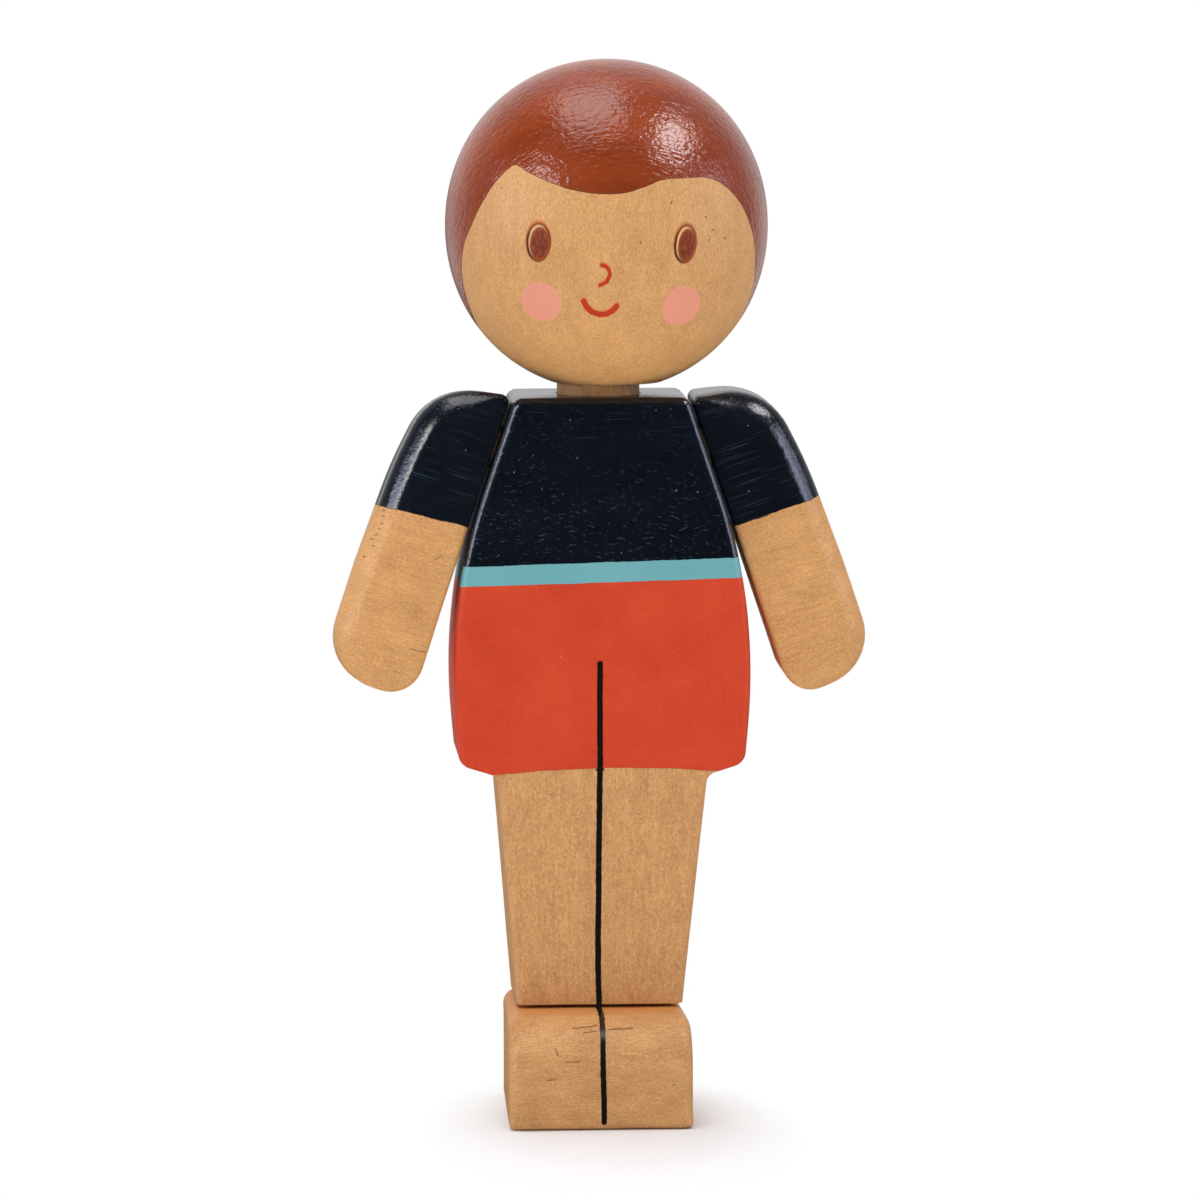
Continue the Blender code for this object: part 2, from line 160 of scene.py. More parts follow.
class NodeSheet:
    """A node tree that is written from its first node to its output."""

    def __init__(self, tree: bpy.types.NodeTree) -> None:
        """Start from an empty tree."""
        self.tree = tree
        tree.nodes.clear()

    def add(
        self,
        kind: str,
        inputs: dict[int | str, Wire] | None = None,
        out: int | str = 0,
        **settings: str | bool,
    ) -> bpy.types.NodeSocket | None:
        """Add one node with its settings and links.

        Args:
            kind: The node's type without the words ShaderNode before it.
            inputs: A value or a link for each input that isn't left as it is.
            out: The output that the next node takes.
            settings: The node's own properties.

        Returns:
            That output, or nothing for a node that ends a tree.
        """
        node = self.tree.nodes.new("ShaderNode" + kind)
        for name, value in settings.items():
            setattr(node, name, value)
        for name, value in (inputs or {}).items():
            if isinstance(value, bpy.types.NodeSocket):
                self.tree.links.new(value, node.inputs[name])
            else:
                node.inputs[name].default_value = value
        return node.outputs[out] if node.outputs else None

    def stretched(self, place: Wire, length: float, width: float, run: Run) -> Wire:
        """Measure a place in the lengths and widths of a pattern that is drawn out one way.

        Args:
            place: The place in metres.
            length: The pattern's size along its run, in millimetres.
            width: Its size in the other directions.
            run: Which way the length goes.

        Returns:
            The place in pattern sizes, ready for a texture whose scale is 1.
        """
        sizes = tuple(length if along else width for along in run.value)
        scale = tuple(1 / (size * MM) for size in sizes)
        return self.add("VectorMath", {0: place, 1: scale}, operation="MULTIPLY")

    def cloud(
        self, place: Wire, length: float, width: float, run: Run = Run.EVEN, detail: float = 2.0
    ) -> Wire:
        """Lay a soft cloudy pattern, from 0 to 1 with its middle at 0.5.

        Args:
            place: The place in metres.
            length: The size of a patch along its run, in millimetres.
            width: Its size in the other directions.
            run: Which way the patches are drawn out.
            detail: How many finer patterns lie in it.

        Returns:
            The pattern's value.
        """
        spread = self.stretched(place, length, width, run)
        return self.add("TexNoise", {"Vector": spread, "Scale": 1.0, "Detail": detail}, "Fac")

    def flecks(
        self, place: Wire, length: float, width: float, run: Run, spacing: float, share: float
    ) -> Wire:
        """Scatter short dashes or dots, each in a cell of its own.

        Args:
            place: The place in metres.
            length: A fleck's length in millimetres.
            width: Its width.
            run: Which way it lies.
            spacing: How many times its own size is from one fleck to the next.
            share: How many cells of all have one, from 0 to 1.

        Returns:
            1 on a fleck and 0 elsewhere.
        """
        spread = self.stretched(place, length * spacing, width * spacing, run)
        shift = self.cloud(place, 1.1, 1.1, Run.EVEN, 0.0)
        bent = self.add("VectorMath", {0: spread, 1: shift}, operation="ADD")
        cells = {"Vector": bent, "Scale": 1.0, "Randomness": 1.0}
        distance = self.add("TexVoronoi", cells, "Distance")
        node = distance.node
        luck = self.add("SeparateXYZ", {0: node.outputs["Color"]}, 0)
        size = self.add("MapRange", {0: luck, 1: 1 - share, 2: 1.0, 3: 0.0, 4: 0.75 / spacing})
        off = self.add("Math", {0: size, 1: distance}, operation="SUBTRACT")
        return self.add("MapRange", {0: off, 1: 0.0, 2: 0.2 / spacing, 3: 0.0, 4: 1.0})

    def summed(self, parts: tuple[tuple[Wire, float], ...]) -> Wire:
        """Add several patterns up.

        Args:
            parts: Each pattern's value and the weight that it has in the sum.

        Returns:
            The sum.
        """
        whole = None
        for value, weight in parts:
            part = self.add("Math", {0: value, 1: weight}, operation="MULTIPLY")
            if whole is None:
                whole = part
            else:
                whole = self.add("Math", {0: whole, 1: part}, operation="ADD")
        return whole

    def within(self, distance: Wire, reach: Wire, softness: float) -> Wire:
        """Mask the places whose distance is less than a reach.

        Args:
            distance: A distance in metres.
            reach: The distance at which the mask is half.
            softness: Over how many millimetres the mask's edge fades.

        Returns:
            1 inside and 0 outside.
        """
        left = self.add("Math", {0: reach, 1: distance}, operation="SUBTRACT")
        half = softness * MM / 2
        fade = {0: left, 1: -half, 2: half, 3: 0.0, 4: 1.0}
        return self.add("MapRange", fade, interpolation_type="SMOOTHSTEP")

    def above(self, across: Wire, up: Wire, edge: Point, softness: float) -> Wire:
        """Mask what lies above a straight paint edge.

        Args:
            across: How far across the piece, in metres.
            up: How far up it, in metres.
            edge: The edge's height where across is 0, in millimetres, and its rise.
            softness: Over how many millimetres the mask's edge fades.

        Returns:
            1 above the edge and 0 below it.
        """
        rise = self.add("Math", {0: across, 1: edge[1]}, operation="MULTIPLY")
        line = self.add("Math", {0: rise, 1: edge[0] * MM}, operation="ADD")
        return self.within(line, up, softness)

    def shaken(self, place: Wire, size: float, amount: float) -> Wire:
        """Shift a place by a hand's small unsteadiness.

        Args:
            place: The place in metres.
            size: How long one shake is, in millimetres.
            amount: How far it goes to either side, in millimetres.

        Returns:
            The shifted place.
        """
        scale = 1 / (size * MM)
        clouds = {"Vector": place, "Scale": scale, "Detail": 2.0}
        shake = self.add("TexNoise", clouds, "Color")
        centred = self.add("VectorMath", {0: shake, 1: (0.5, 0.5, 0.5)}, operation="SUBTRACT")
        grown = {0: centred, "Scale": amount * MM * 4}
        moved = self.add("VectorMath", grown, operation="SCALE")
        return self.add("VectorMath", {0: place, 1: moved}, operation="ADD")

    def from_front(self, place: Wire) -> Wire:
        """Flatten a place onto the upright plane that faces the front."""
        return self.add("VectorMath", {0: place, 1: (1.0, 0.0, 1.0)}, operation="MULTIPLY")

    def stroke(self, front: Wire, points: tuple[Point, ...]) -> Wire:
        """Measure the distance to a brush stroke's middle line.

        Args:
            front: The place, flattened onto the front.
            points: The points that the stroke goes through.

        Returns:
            The distance in metres.
        """
        least = None
        for start, end in zip(points, points[1:]):
            first = Vector((start[0] * MM, 0.0, start[1] * MM))
            along = Vector((end[0] * MM, 0.0, end[1] * MM)) - first
            offset = self.add("VectorMath", {0: front, 1: tuple(first)}, operation="SUBTRACT")
            dual = tuple(along / along.length_squared)
            share = self.add("VectorMath", {0: offset, 1: dual}, "Value", operation="DOT_PRODUCT")
            held = self.add("Math", {0: share, 1: 0.0}, operation="ADD", use_clamp=True)
            foot = {0: tuple(along), "Scale": held}
            nearby = self.add("VectorMath", foot, operation="SCALE")
            far = self.add("VectorMath", {0: offset, 1: nearby}, "Value", operation="DISTANCE")
            if least is None:
                least = far
            else:
                least = self.add("Math", {0: least, 1: far}, operation="MINIMUM")
        return least

    def oval(self, front: Wire, centre: Point, half: Point, tilt: float = 0.0) -> Wire:
        """Measure a place against an oval.

        Args:
            front: The place, flattened onto the front.
            centre: The oval's centre.
            half: Half its width and half its height.
            tilt: How far it leans, in degrees.

        Returns:
            0 at its centre and 1 on its rim.
        """
        # The flattened place has no depth, so its scale there may be any but 0
        shape = {
            "Vector": front,
            "Location": (centre[0] * MM, 0.0, centre[1] * MM),
            "Rotation": (0.0, math.radians(tilt), 0.0),
            "Scale": (half[0] * MM, 1.0, half[1] * MM),
        }
        turned = self.add("Mapping", shape, vector_type="TEXTURE")
        return self.add("VectorMath", {0: turned}, "Value", operation="LENGTH")

    def spot(
        self,
        front: Wire,
        centre: Point,
        half: Point,
        fade: tuple[float, float],
        tilt: float = 0.0,
        strength: float = 1.0,
    ) -> Wire:
        """Mask an oval spot.

        Args:
            front: The place, flattened onto the front.
            centre: The spot's centre.
            half: Half its width and half its height.
            fade: Where its edge starts and stops fading, as shares of its half sizes.
            tilt: How far it leans, in degrees.
            strength: The mask inside the spot.

        Returns:
            The strength inside and 0 outside.
        """
        distance = self.oval(front, centre, half, tilt)
        return self.add("MapRange", {0: distance, 1: fade[0], 2: fade[1], 3: strength, 4: 0.0})

    def nearest(self, front: Wire, strokes: tuple[tuple[Point, ...], ...]) -> Wire:
        """Measure the distance to the nearest of several brush strokes.

        Args:
            front: The place, flattened onto the front.
            strokes: Each stroke's points.

        Returns:
            The distance in metres.
        """
        near = self.stroke(front, strokes[0])
        for points in strokes[1:]:
            other = self.stroke(front, points)
            near = self.add("Math", {0: near, 1: other}, operation="MINIMUM")
        return near

    def curve(
        self, value: Wire, points: tuple[Point, ...], low: float, high: float, peak: int
    ) -> Wire:
        """Read a drawn curve.

        Args:
            value: Where to read it, from 0 to 1.
            points: The curve's points, whose first number is from 0 to 1.
            low: The least height that the curve can have.
            high: The greatest.
            peak: Which of the points is a sharp corner.

        Returns:
            The curve's height there.
        """
        drawn = self.add("FloatCurve", {"Value": value})
        line = drawn.node.mapping.curves[0]
        spots = [(at, (height - low) / (high - low)) for at, height in points]
        while len(line.points) < len(spots):
            line.points.new(0.5, 0.5)
        for spot, (at, height) in zip(line.points, spots):
            spot.location = (at, height)
        for i, spot in enumerate(line.points):
            spot.handle_type = "VECTOR" if i == peak else "AUTO"
        drawn.node.mapping.update()
        return self.add("MapRange", {0: drawn, 1: 0.0, 2: 1.0, 3: low, 4: high})


@dataclass(frozen=True)
class Layer:
    """What the eye meets on a surface.

    It has a colour, a roughness, a height in millimetres and a gloss, which is 0.5 for a full
    resin film and less for a matt one that sank into the wood.
    """

    colour: Wire
    roughness: Wire
    height: Wire
    gloss: Wire = 0.5

    def under(self, sheet: NodeSheet, coat: "Layer", mask: Wire) -> "Layer":
        """Cover this layer with a coat where a mask says so.

        Args:
            sheet: The node tree that the layers are in.
            coat: The layer on top.
            mask: 1 where the coat is and 0 where it isn't.

        Returns:
            The two as one layer.
        """
        gloss = self.gloss
        if gloss != coat.gloss:
            gloss = sheet.add("Mix", {0: mask, 2: gloss, 3: coat.gloss}, data_type="FLOAT")
        colours = {0: mask, 6: self.colour, 7: coat.colour}
        colour = sheet.add("Mix", colours, 2, data_type="RGBA")
        shines = {0: mask, 2: self.roughness, 3: coat.roughness}
        shine = sheet.add("Mix", shines, data_type="FLOAT")
        heights = {0: mask, 2: self.height, 3: coat.height}
        height = sheet.add("Mix", heights, data_type="FLOAT")
        return Layer(colour, shine, height, gloss)

    def inked(
        self, sheet: NodeSheet, colour: Wire | str, mask: Wire, strength: float = 1.0
    ) -> "Layer":
        """Tint this layer where a mask says so, by something too thin to change its relief.

        Args:
            sheet: The node tree that the layer is in.
            colour: The tint, as a hex colour or as a node's output.
            mask: Where the tint is.
            strength: What the mask is multiplied by.

        Returns:
            The tinted layer.
        """
        if strength != 1.0:
            mask = sheet.add("Math", {0: mask, 1: strength}, operation="MULTIPLY")
        if isinstance(colour, str):
            colour = linear(colour)
        colours = {0: mask, 6: self.colour, 7: colour}
        return replace(self, colour=sheet.add("Mix", colours, 2, data_type="RGBA"))

    def raised(self, sheet: NodeSheet, mask: Wire, rise: float) -> "Layer":
        """Raise or sink this layer's surface where a mask says so.

        Args:
            sheet: The node tree that the layer is in.
            mask: Where its height changes.
            rise: How far it rises, in millimetres, or sinks if this is less than 0.

        Returns:
            The layer with its new height.
        """
        change = sheet.add("Math", {0: mask, 1: rise}, operation="MULTIPLY")
        height = sheet.add("Math", {0: self.height, 1: change}, operation="ADD")
        return replace(self, height=height)


@dataclass(frozen=True)
class StainedBeech:
    """Beech that was sawn or turned, sanded and wiped with a skin-coloured stain, then sealed.

    It shows soft cloudy bands of tan, fine fibres, and short dark dashes where the rays of the
    wood are cut, with a dull shine from the sealer. Sizes are in millimetres.
    """

    light: str = "#e2ad73"
    dark: str = "#bb8653"
    pore: str = "#5f4529"
    fibres: Run = Run.ACROSS
    dashes: Run = Run.ACROSS
    mottle: float = 3.2
    fibre_length: float = 1.3
    fibre_width: float = 0.16
    dash_length: float = 0.3
    dash_width: float = 0.1
    dash_share: float = 0.22
    mottling: float = 0.9
    speckle: float = 0.24
    roughness: float = 0.48
    gloss: float = 0.25
    # How much of the colour's change each pattern gives, beside the mottles' share above
    band_weight: float = 0.3
    fibre_weight: float = 0.7
    speckle_weight: float = 1.1
    # How far the sum goes to either side of its middle from the darkest wood to the lightest
    spread: float = 0.38
    # How many times its own size is from one dash to the next, and how dark a dash is
    dash_spacing: float = 4.5
    dash_strength: float = 0.8

    def lay(self, sheet: NodeSheet, place: Wire) -> Layer:
        """Show the bare stained wood.

        Args:
            sheet: The node tree.
            place: The place in metres.

        Returns:
            The wood's layer.
        """
        mottles = sheet.cloud(place, self.mottle, self.mottle * 0.7, self.fibres, 3.0)
        bands = sheet.cloud(place, self.mottle * 5, 0.9, self.fibres, 1.0)
        fibres = sheet.cloud(place, self.fibre_length, self.fibre_width, self.fibres, 2.0)
        # Sanding dust and cut fibre ends are finer than this, which is the least that shows
        speckles = sheet.cloud(place, self.speckle, self.speckle * 0.7, self.fibres, 1.0)
        patterns = (
            (mottles, self.mottling),
            (bands, self.band_weight),
            (fibres, self.fibre_weight),
            (speckles, self.speckle_weight),
        )
        depth = sheet.summed(patterns)
        middle = sum(weight for _, weight in patterns) / 2
        limits = {0: depth, 1: middle - self.spread, 2: middle + self.spread, 3: 0.0, 4: 1.0}
        share = sheet.add("MapRange", limits)
        woods = {0: share, 6: linear(self.dark), 7: linear(self.light)}
        colour = sheet.add("Mix", woods, 2, data_type="RGBA")

        # The dashes are sparse in some parts and crowded in others
        crowds = sheet.cloud(place, 6.0, 6.0, Run.EVEN, 1.0)
        crowded = sheet.add("MapRange", {0: crowds, 1: 0.4, 2: 0.6, 3: 0.25, 4: 1.0})
        sizes = (self.dash_length, self.dash_width)
        flecks = sheet.flecks(place, *sizes, self.dashes, self.dash_spacing, self.dash_share)
        flecks = sheet.add("Math", {0: flecks, 1: crowded}, operation="MULTIPLY")
        dashed = sheet.add("Math", {0: flecks, 1: self.dash_strength}, operation="MULTIPLY")
        darkened = {0: dashed, 6: colour, 7: linear(self.pore)}
        colour = sheet.add("Mix", darkened, 2, data_type="RGBA")

        # Fibres stand up and pores are sunk, by hundredths of a millimetre
        height = sheet.summed(((fibres, 0.012), (flecks, -0.03), (speckles, 0.006)))
        shines = {0: fibres, 2: self.roughness - 0.05, 3: self.roughness + 0.07}
        shine = sheet.add("Mix", shines, data_type="FLOAT")
        return Layer(colour, shine, height, self.gloss)


@dataclass(frozen=True)
class Enamel:
    """Toy enamel brushed on by hand over the sealed wood.

    It hides the wood's colour but not all of its fibres, pools a little between brush marks, and
    has a raised edge where the brush stopped. Sizes are in millimetres.
    """

    tone: str
    shade: str
    roughness: float
    thickness: float = 0.05
    brush: Run = Run.ACROSS
    brush_length: float = 3.0
    brush_width: float = 0.22
    brush_height: float = 0.006
    peel_size: float = 0.55
    peel_height: float = 0.004
    wood_showing: float = 0.35
    pooling: float = 1.2
    # How steep the sides of its small relief are: 1 is a soft wave
    crispness: float = 1.0
    gloss: float = 0.5
    # How much of the colour's change the brush marks give, beside the pooling above, and how far
    # the sum goes to either side of its middle from the shade to the tone
    mark_weight: float = 0.5
    spread: float = 0.25

    def lay(self, sheet: NodeSheet, place: Wire, wood: Layer) -> Layer:
        """Show the painted surface.

        Args:
            sheet: The node tree.
            place: The place in metres.
            wood: What the enamel is painted on.

        Returns:
            The enamel's layer.
        """
        marks = sheet.cloud(place, self.brush_length, self.brush_width, self.brush, 2.0)
        pools = sheet.cloud(place, 7.0, 4.0, self.brush, 2.0)
        peel = sheet.cloud(place, self.peel_size, self.peel_size, Run.EVEN, 1.0)
        if self.crispness > 1:
            reach = 0.5 / self.crispness
            steep = {0: peel, 1: 0.5 - reach, 2: 0.5 + reach, 3: 0.0, 4: 1.0}
            peel = sheet.add("MapRange", steep)
        depth = sheet.summed(((pools, self.pooling), (marks, self.mark_weight)))
        middle = (self.pooling + self.mark_weight) / 2
        limits = {0: depth, 1: middle - self.spread, 2: middle + self.spread, 3: 0.0, 4: 1.0}
        share = sheet.add("MapRange", limits)
        paints = {0: share, 6: linear(self.shade), 7: linear(self.tone)}
        colour = sheet.add("Mix", paints, 2, data_type="RGBA")
        ridges = sheet.summed(((marks, self.brush_height), (peel, self.peel_height)))
        ground = sheet.add("Math", {0: wood.height, 1: self.wood_showing}, operation="MULTIPLY")
        ground = sheet.add("Math", {0: ground, 1: self.thickness}, operation="ADD")
        shines = {0: marks, 2: self.roughness - 0.03, 3: self.roughness + 0.04}
        shine = sheet.add("Mix", shines, data_type="FLOAT")
        height = sheet.add("Math", {0: ridges, 1: ground}, operation="ADD")
        return Layer(colour, shine, height, self.gloss)


@dataclass(frozen=True)
class BareDowel:
    """Birch dowel, machine turned and left bare, so it is pale, straight-grained and dull."""

    light: str = "#e2c79c"
    dark: str = "#c9a878"
    roughness: float = 0.68

    def material(self) -> bpy.types.Material:
        """Make the material of the hidden dowels."""
        material, sheet, place = start_material("Birch dowel, turned and bare")
        fibres = sheet.cloud(place, 6.0, 0.25, Run.UPRIGHT, 3.0)
        pools = sheet.cloud(place, 3.0, 2.0, Run.UPRIGHT, 2.0)
        share = sheet.summed(((fibres, 0.5), (pools, 0.5)))
        woods = {0: share, 6: linear(self.dark), 7: linear(self.light)}
        colour = sheet.add("Mix", woods, 2, data_type="RGBA")
        shines = {0: pools, 2: self.roughness - 0.06, 3: self.roughness + 0.06}
        shine = sheet.add("Mix", shines, data_type="FLOAT")
        height = sheet.add("Math", {0: fibres, 1: 0.02}, operation="MULTIPLY")
        close_material(sheet, Layer(colour, shine, height))
        return material


def start_material(name: str) -> tuple[bpy.types.Material, NodeSheet, Wire]:
    """Begin a material.

    Args:
        name: What the surface is and how it was made.

    Returns:
        The material, its node sheet and the place in the piece's own coordinates, in metres.
    """
    material = bpy.data.materials.new(name)
    material.use_nodes = True
    sheet = NodeSheet(material.node_tree)
    return material, sheet, sheet.add("TexCoord", out="Object")


def close_material(sheet: NodeSheet, layer: Layer) -> None:
    """End a material with its shader.

    Args:
        sheet: The node sheet.
        layer: The uppermost layer.
    """
    relief = {"Height": layer.height, "Distance": MM, "Strength": 1.0}
    bump = sheet.add("Bump", relief)
    # Both the sealer and the enamel are resins, so both have a resin's refraction
    surface = {
        "Base Color": layer.colour,
        "Roughness": layer.roughness,
        "Specular IOR Level": layer.gloss,
        "Normal": bump,
        "IOR": 1.5,
        "Metallic": 0.0,
    }
    shader = sheet.add("BsdfPrincipled", surface)
    sheet.add("OutputMaterial", {"Surface": shader})


# Navy enamel, brushed on thick and left to flow: a wet black-blue gloss that shows every dent
NAVY = Enamel("#0b141f", "#070f19", 0.2, brush_height=0.012, peel_height=0.03)
# Teal enamel, masked and brushed once: flat, even and only half glossy
TEAL = Enamel("#6fb3bb", "#6badb6", 0.38, gloss=0.3)
# Orange-red enamel, dabbed on thin with a sponge: nearly matt, with a fine even tooth
POPPY = Enamel(
    "#dc4c2c",
    "#c93e22",
    0.38,
    brush=Run.EVEN,
    brush_length=0.3,
    brush_width=0.3,
    brush_height=0.012,
    peel_height=0.05,
    peel_size=0.35,
    pooling=0.7,
    gloss=0.15,
)
# Chestnut enamel, brushed round the ball: glossy, with short ridges that break its highlights up
CHESTNUT = Enamel(
    "#923a0b",
    "#7f2e06",
    0.21,
    thickness=0.07,
    brush=Run.ROUND,
    brush_length=1.3,
    brush_width=0.24,
    brush_height=0.055,
    peel_size=0.6,
    peel_height=0.023,
    crispness=4.0,
    wood_showing=0.5,
)

# The black of the drawn lines, how rough it is and how far it stands up, in millimetres
INK_BLACK = "#14110e"
INK_ROUGHNESS = 0.24
INK_HEIGHT = 0.015


def linked(name: str, data: bpy.types.ID) -> bpy.types.Object:
    """Make an object from its data and put it in the scene."""
    made = bpy.data.objects.new(name, data)
    bpy.context.scene.collection.objects.link(made)
    return made


def settled(name: str, bm: bmesh.types.BMesh) -> bpy.types.Object:
    """Make an object in the scene from a mesh that is finished, and free the mesh's workspace."""
    mesh = bpy.data.meshes.new(name)
    bm.to_mesh(mesh)
    bm.free()
    return linked(name, mesh)


def wear(piece: bpy.types.Object, material: bpy.types.Material) -> None:
    """Give an object one material in place of those that it has."""
    piece.data.materials.clear()
    piece.data.materials.append(material)


def black_ink(sheet: NodeSheet, below: Layer, mask: Wire) -> Layer:
    """Draw over a layer in black ink.

    Args:
        sheet: The node tree.
        below: What is drawn on.
        mask: Where the ink is.

    Returns:
        The layer with its drawing.
    """
    height = sheet.add("Math", {0: below.height, 1: INK_HEIGHT}, operation="ADD")
    return below.under(sheet, Layer(linear(INK_BLACK), INK_ROUGHNESS, height), mask)


@dataclass(frozen=True)
class Hole:
    """A blind bore: its mouth, the way it goes in, its radius and its depth, in millimetres."""

    mouth: tuple[float, float, float]
    inward: tuple[float, float, float]
    radius: float
    depth: float


def rounded(corners: list[Corner], step: float) -> list[Vector]:
    """Round the corners of a closed outline and space points along it.

    Args:
        corners: Each corner's two coordinates and its radius, in millimetres.
        step: The greatest distance between two points, in millimetres.

    Returns:
        The outline's points in millimetres, in the same order.
    """
    points = [Vector(corner[:2]) for corner in corners]
    count = len(points)
    turns = []
    reaches = []
    for i, corner in enumerate(corners):
        arriving = (points[i] - points[i - 1]).normalized()
        leaving = (points[(i + 1) % count] - points[i]).normalized()
        turn = math.acos(max(-1.0, min(1.0, arriving.dot(leaving))))
        turns.append((arriving, leaving, turn))
        reaches.append(corner[2] * math.tan(turn / 2))
    for i in range(count):
        after = (i + 1) % count
        room = (points[after] - points[i]).length
        wanted = reaches[i] + reaches[after]
        if wanted > room:
            reaches[i] *= room / wanted
            reaches[after] *= room / wanted
    outline = []
    for point, (arriving, leaving, turn), reach in zip(points, turns, reaches):
        if reach < WELD:
            outline.append(point)
            continue
        radius = reach / math.tan(turn / 2)
        # A corner has 4 facets at least, and one for each 9 degrees
        arcs = max(4, math.ceil(turn * radius / step), math.ceil(turn / math.radians(9)))
        start = point - arriving * reach
        inward = (leaving - arriving * leaving.dot(arriving)).normalized()
        for k in range(arcs + 1):
            angle = turn * k / arcs
            along = arriving * radius * math.sin(angle)
            outline.append(start + along + inward * radius * (1 - math.cos(angle)))
    spaced = []
    for i, point in enumerate(outline):
        gap = point - outline[i - 1]
        if gap.length < WELD:
            continue
        parts = max(1, math.ceil(gap.length / step))
        for k in range(1, parts):
            spaced.append(outline[i - 1] + gap * k / parts)
        spaced.append(point)
    return spaced


@dataclass
class WoodenPiece:
    """One piece of the figure, which stands for a node of the frame."""

    node: str
    body: str
    slot: str
    # How far sanding by hand wore the surface in, at most, how long its waves are, and where in
    # the pattern of waves the piece starts
    sanding: float = 0.05
    sanding_wave: float = 6.0
    seed: float = 3.0

    def shape(self, bm: bmesh.types.BMesh) -> bpy.types.Object:
        """Make the piece's object from its mesh.

        Args:
            bm: The mesh, in millimetres. It is freed.

        Returns:
            The object, in metres.
        """
        for vert in bm.verts:
            vert.co *= MM
        bmesh.ops.recalc_face_normals(bm, faces=bm.faces)
        return settled(self.node + "_wood", bm)

    def sand(self, solid: bpy.types.Object, pitch: float, axes: tuple[int, ...]) -> None:
        """Wear the surface in by soft waves, as sanding by hand does, and shade it.

        Args:
            solid: The drilled piece.
            pitch: The distance between the points that can move on a flat face, in millimetres.
            axes: The axes that the flat faces are cut across.
        """
        bm = bmesh.new()
        bm.from_mesh(solid.data)
        cut_grid(bm, pitch * MM, axes)
        bm.normal_update()
        start = Vector((self.seed, self.seed * 0.7, self.seed * 1.3))
        moves = []
        for vert in bm.verts:
            wave = noise.noise(vert.co / (self.sanding_wave * MM) + start)
            moves.append(vert.normal * self.sanding * MM * (0.5 + 0.5 * wave))
        for vert, move in zip(bm.verts, moves):
            vert.co -= move
        bm.to_mesh(solid.data)
        bm.free()
        solid.data.shade_smooth()
        solid.data.set_sharp_from_angle(angle=math.radians(SHARP_ANGLE))

    def bore(self, solid: bpy.types.Object, holes: list[Hole]) -> None:
        """Drill blind holes and keep the result as the object's mesh.

        Args:
            solid: The piece, whose mesh is closed.
            holes: The bores, in the piece's own coordinates.
        """
        bits = []
        for hole in holes:
            bm = bmesh.new()
            inward = Vector(hole.inward).normalized()
            bmesh.ops.create_cone(
                bm,
                cap_ends=True,
                segments=BIT_SIDES,
                radius1=hole.radius,
                radius2=hole.radius,
                depth=hole.depth + BIT_OVERRUN,
            )
            middle = Vector(hole.mouth) + inward * (hole.depth - BIT_OVERRUN) / 2
            aim = inward.to_track_quat("Z", "Y").to_matrix().to_4x4()
            bmesh.ops.transform(bm, matrix=Matrix.Translation(middle) @ aim, verts=bm.verts)
            bit = self.shape(bm)
            bits.append(bit)
            cut = solid.modifiers.new("bore", "BOOLEAN")
            cut.operation = "DIFFERENCE"
            cut.solver = "EXACT"
            cut.object = bit
        bpy.context.view_layer.update()
        depsgraph = bpy.context.evaluated_depsgraph_get()
        drilled = bpy.data.meshes.new_from_object(solid.evaluated_get(depsgraph))
        solid.modifiers.clear()
        solid.data = drilled
        for bit in bits:
            bpy.data.objects.remove(bit)

    def hang(self, solid: bpy.types.Object, material: bpy.types.Material) -> None:
        """Give the piece its material and its place in the frame.

        Args:
            solid: The finished object.
            material: Its material.
        """
        wear(solid, material)
        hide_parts(self.node)
        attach(solid, self.body)
        log.info("%s: %d faces, rides on %s", solid.name, len(solid.data.polygons), self.body)


def cut_grid(bm: bmesh.types.BMesh, pitch: float, axes: tuple[int, ...]) -> None:
    """Cut a mesh along evenly spaced planes, so that its flat faces can be shaped.

    Args:
        bm: The mesh.
        pitch: The distance between two planes.
        axes: The axes that the planes stand across.
    """
    for axis in axes:
        low = min(vert.co[axis] for vert in bm.verts)
        high = max(vert.co[axis] for vert in bm.verts)
        across = Vector((0.0, 0.0, 0.0))
        across[axis] = 1.0
        for k in range(1, math.ceil((high - low) / pitch)):
            spot = Vector((0.0, 0.0, 0.0))
            spot[axis] = low + k * pitch
            everything = [*bm.verts, *bm.edges, *bm.faces]
            bmesh.ops.bisect_plane(bm, geom=everything, dist=1e-6, plane_co=spot, plane_no=across)


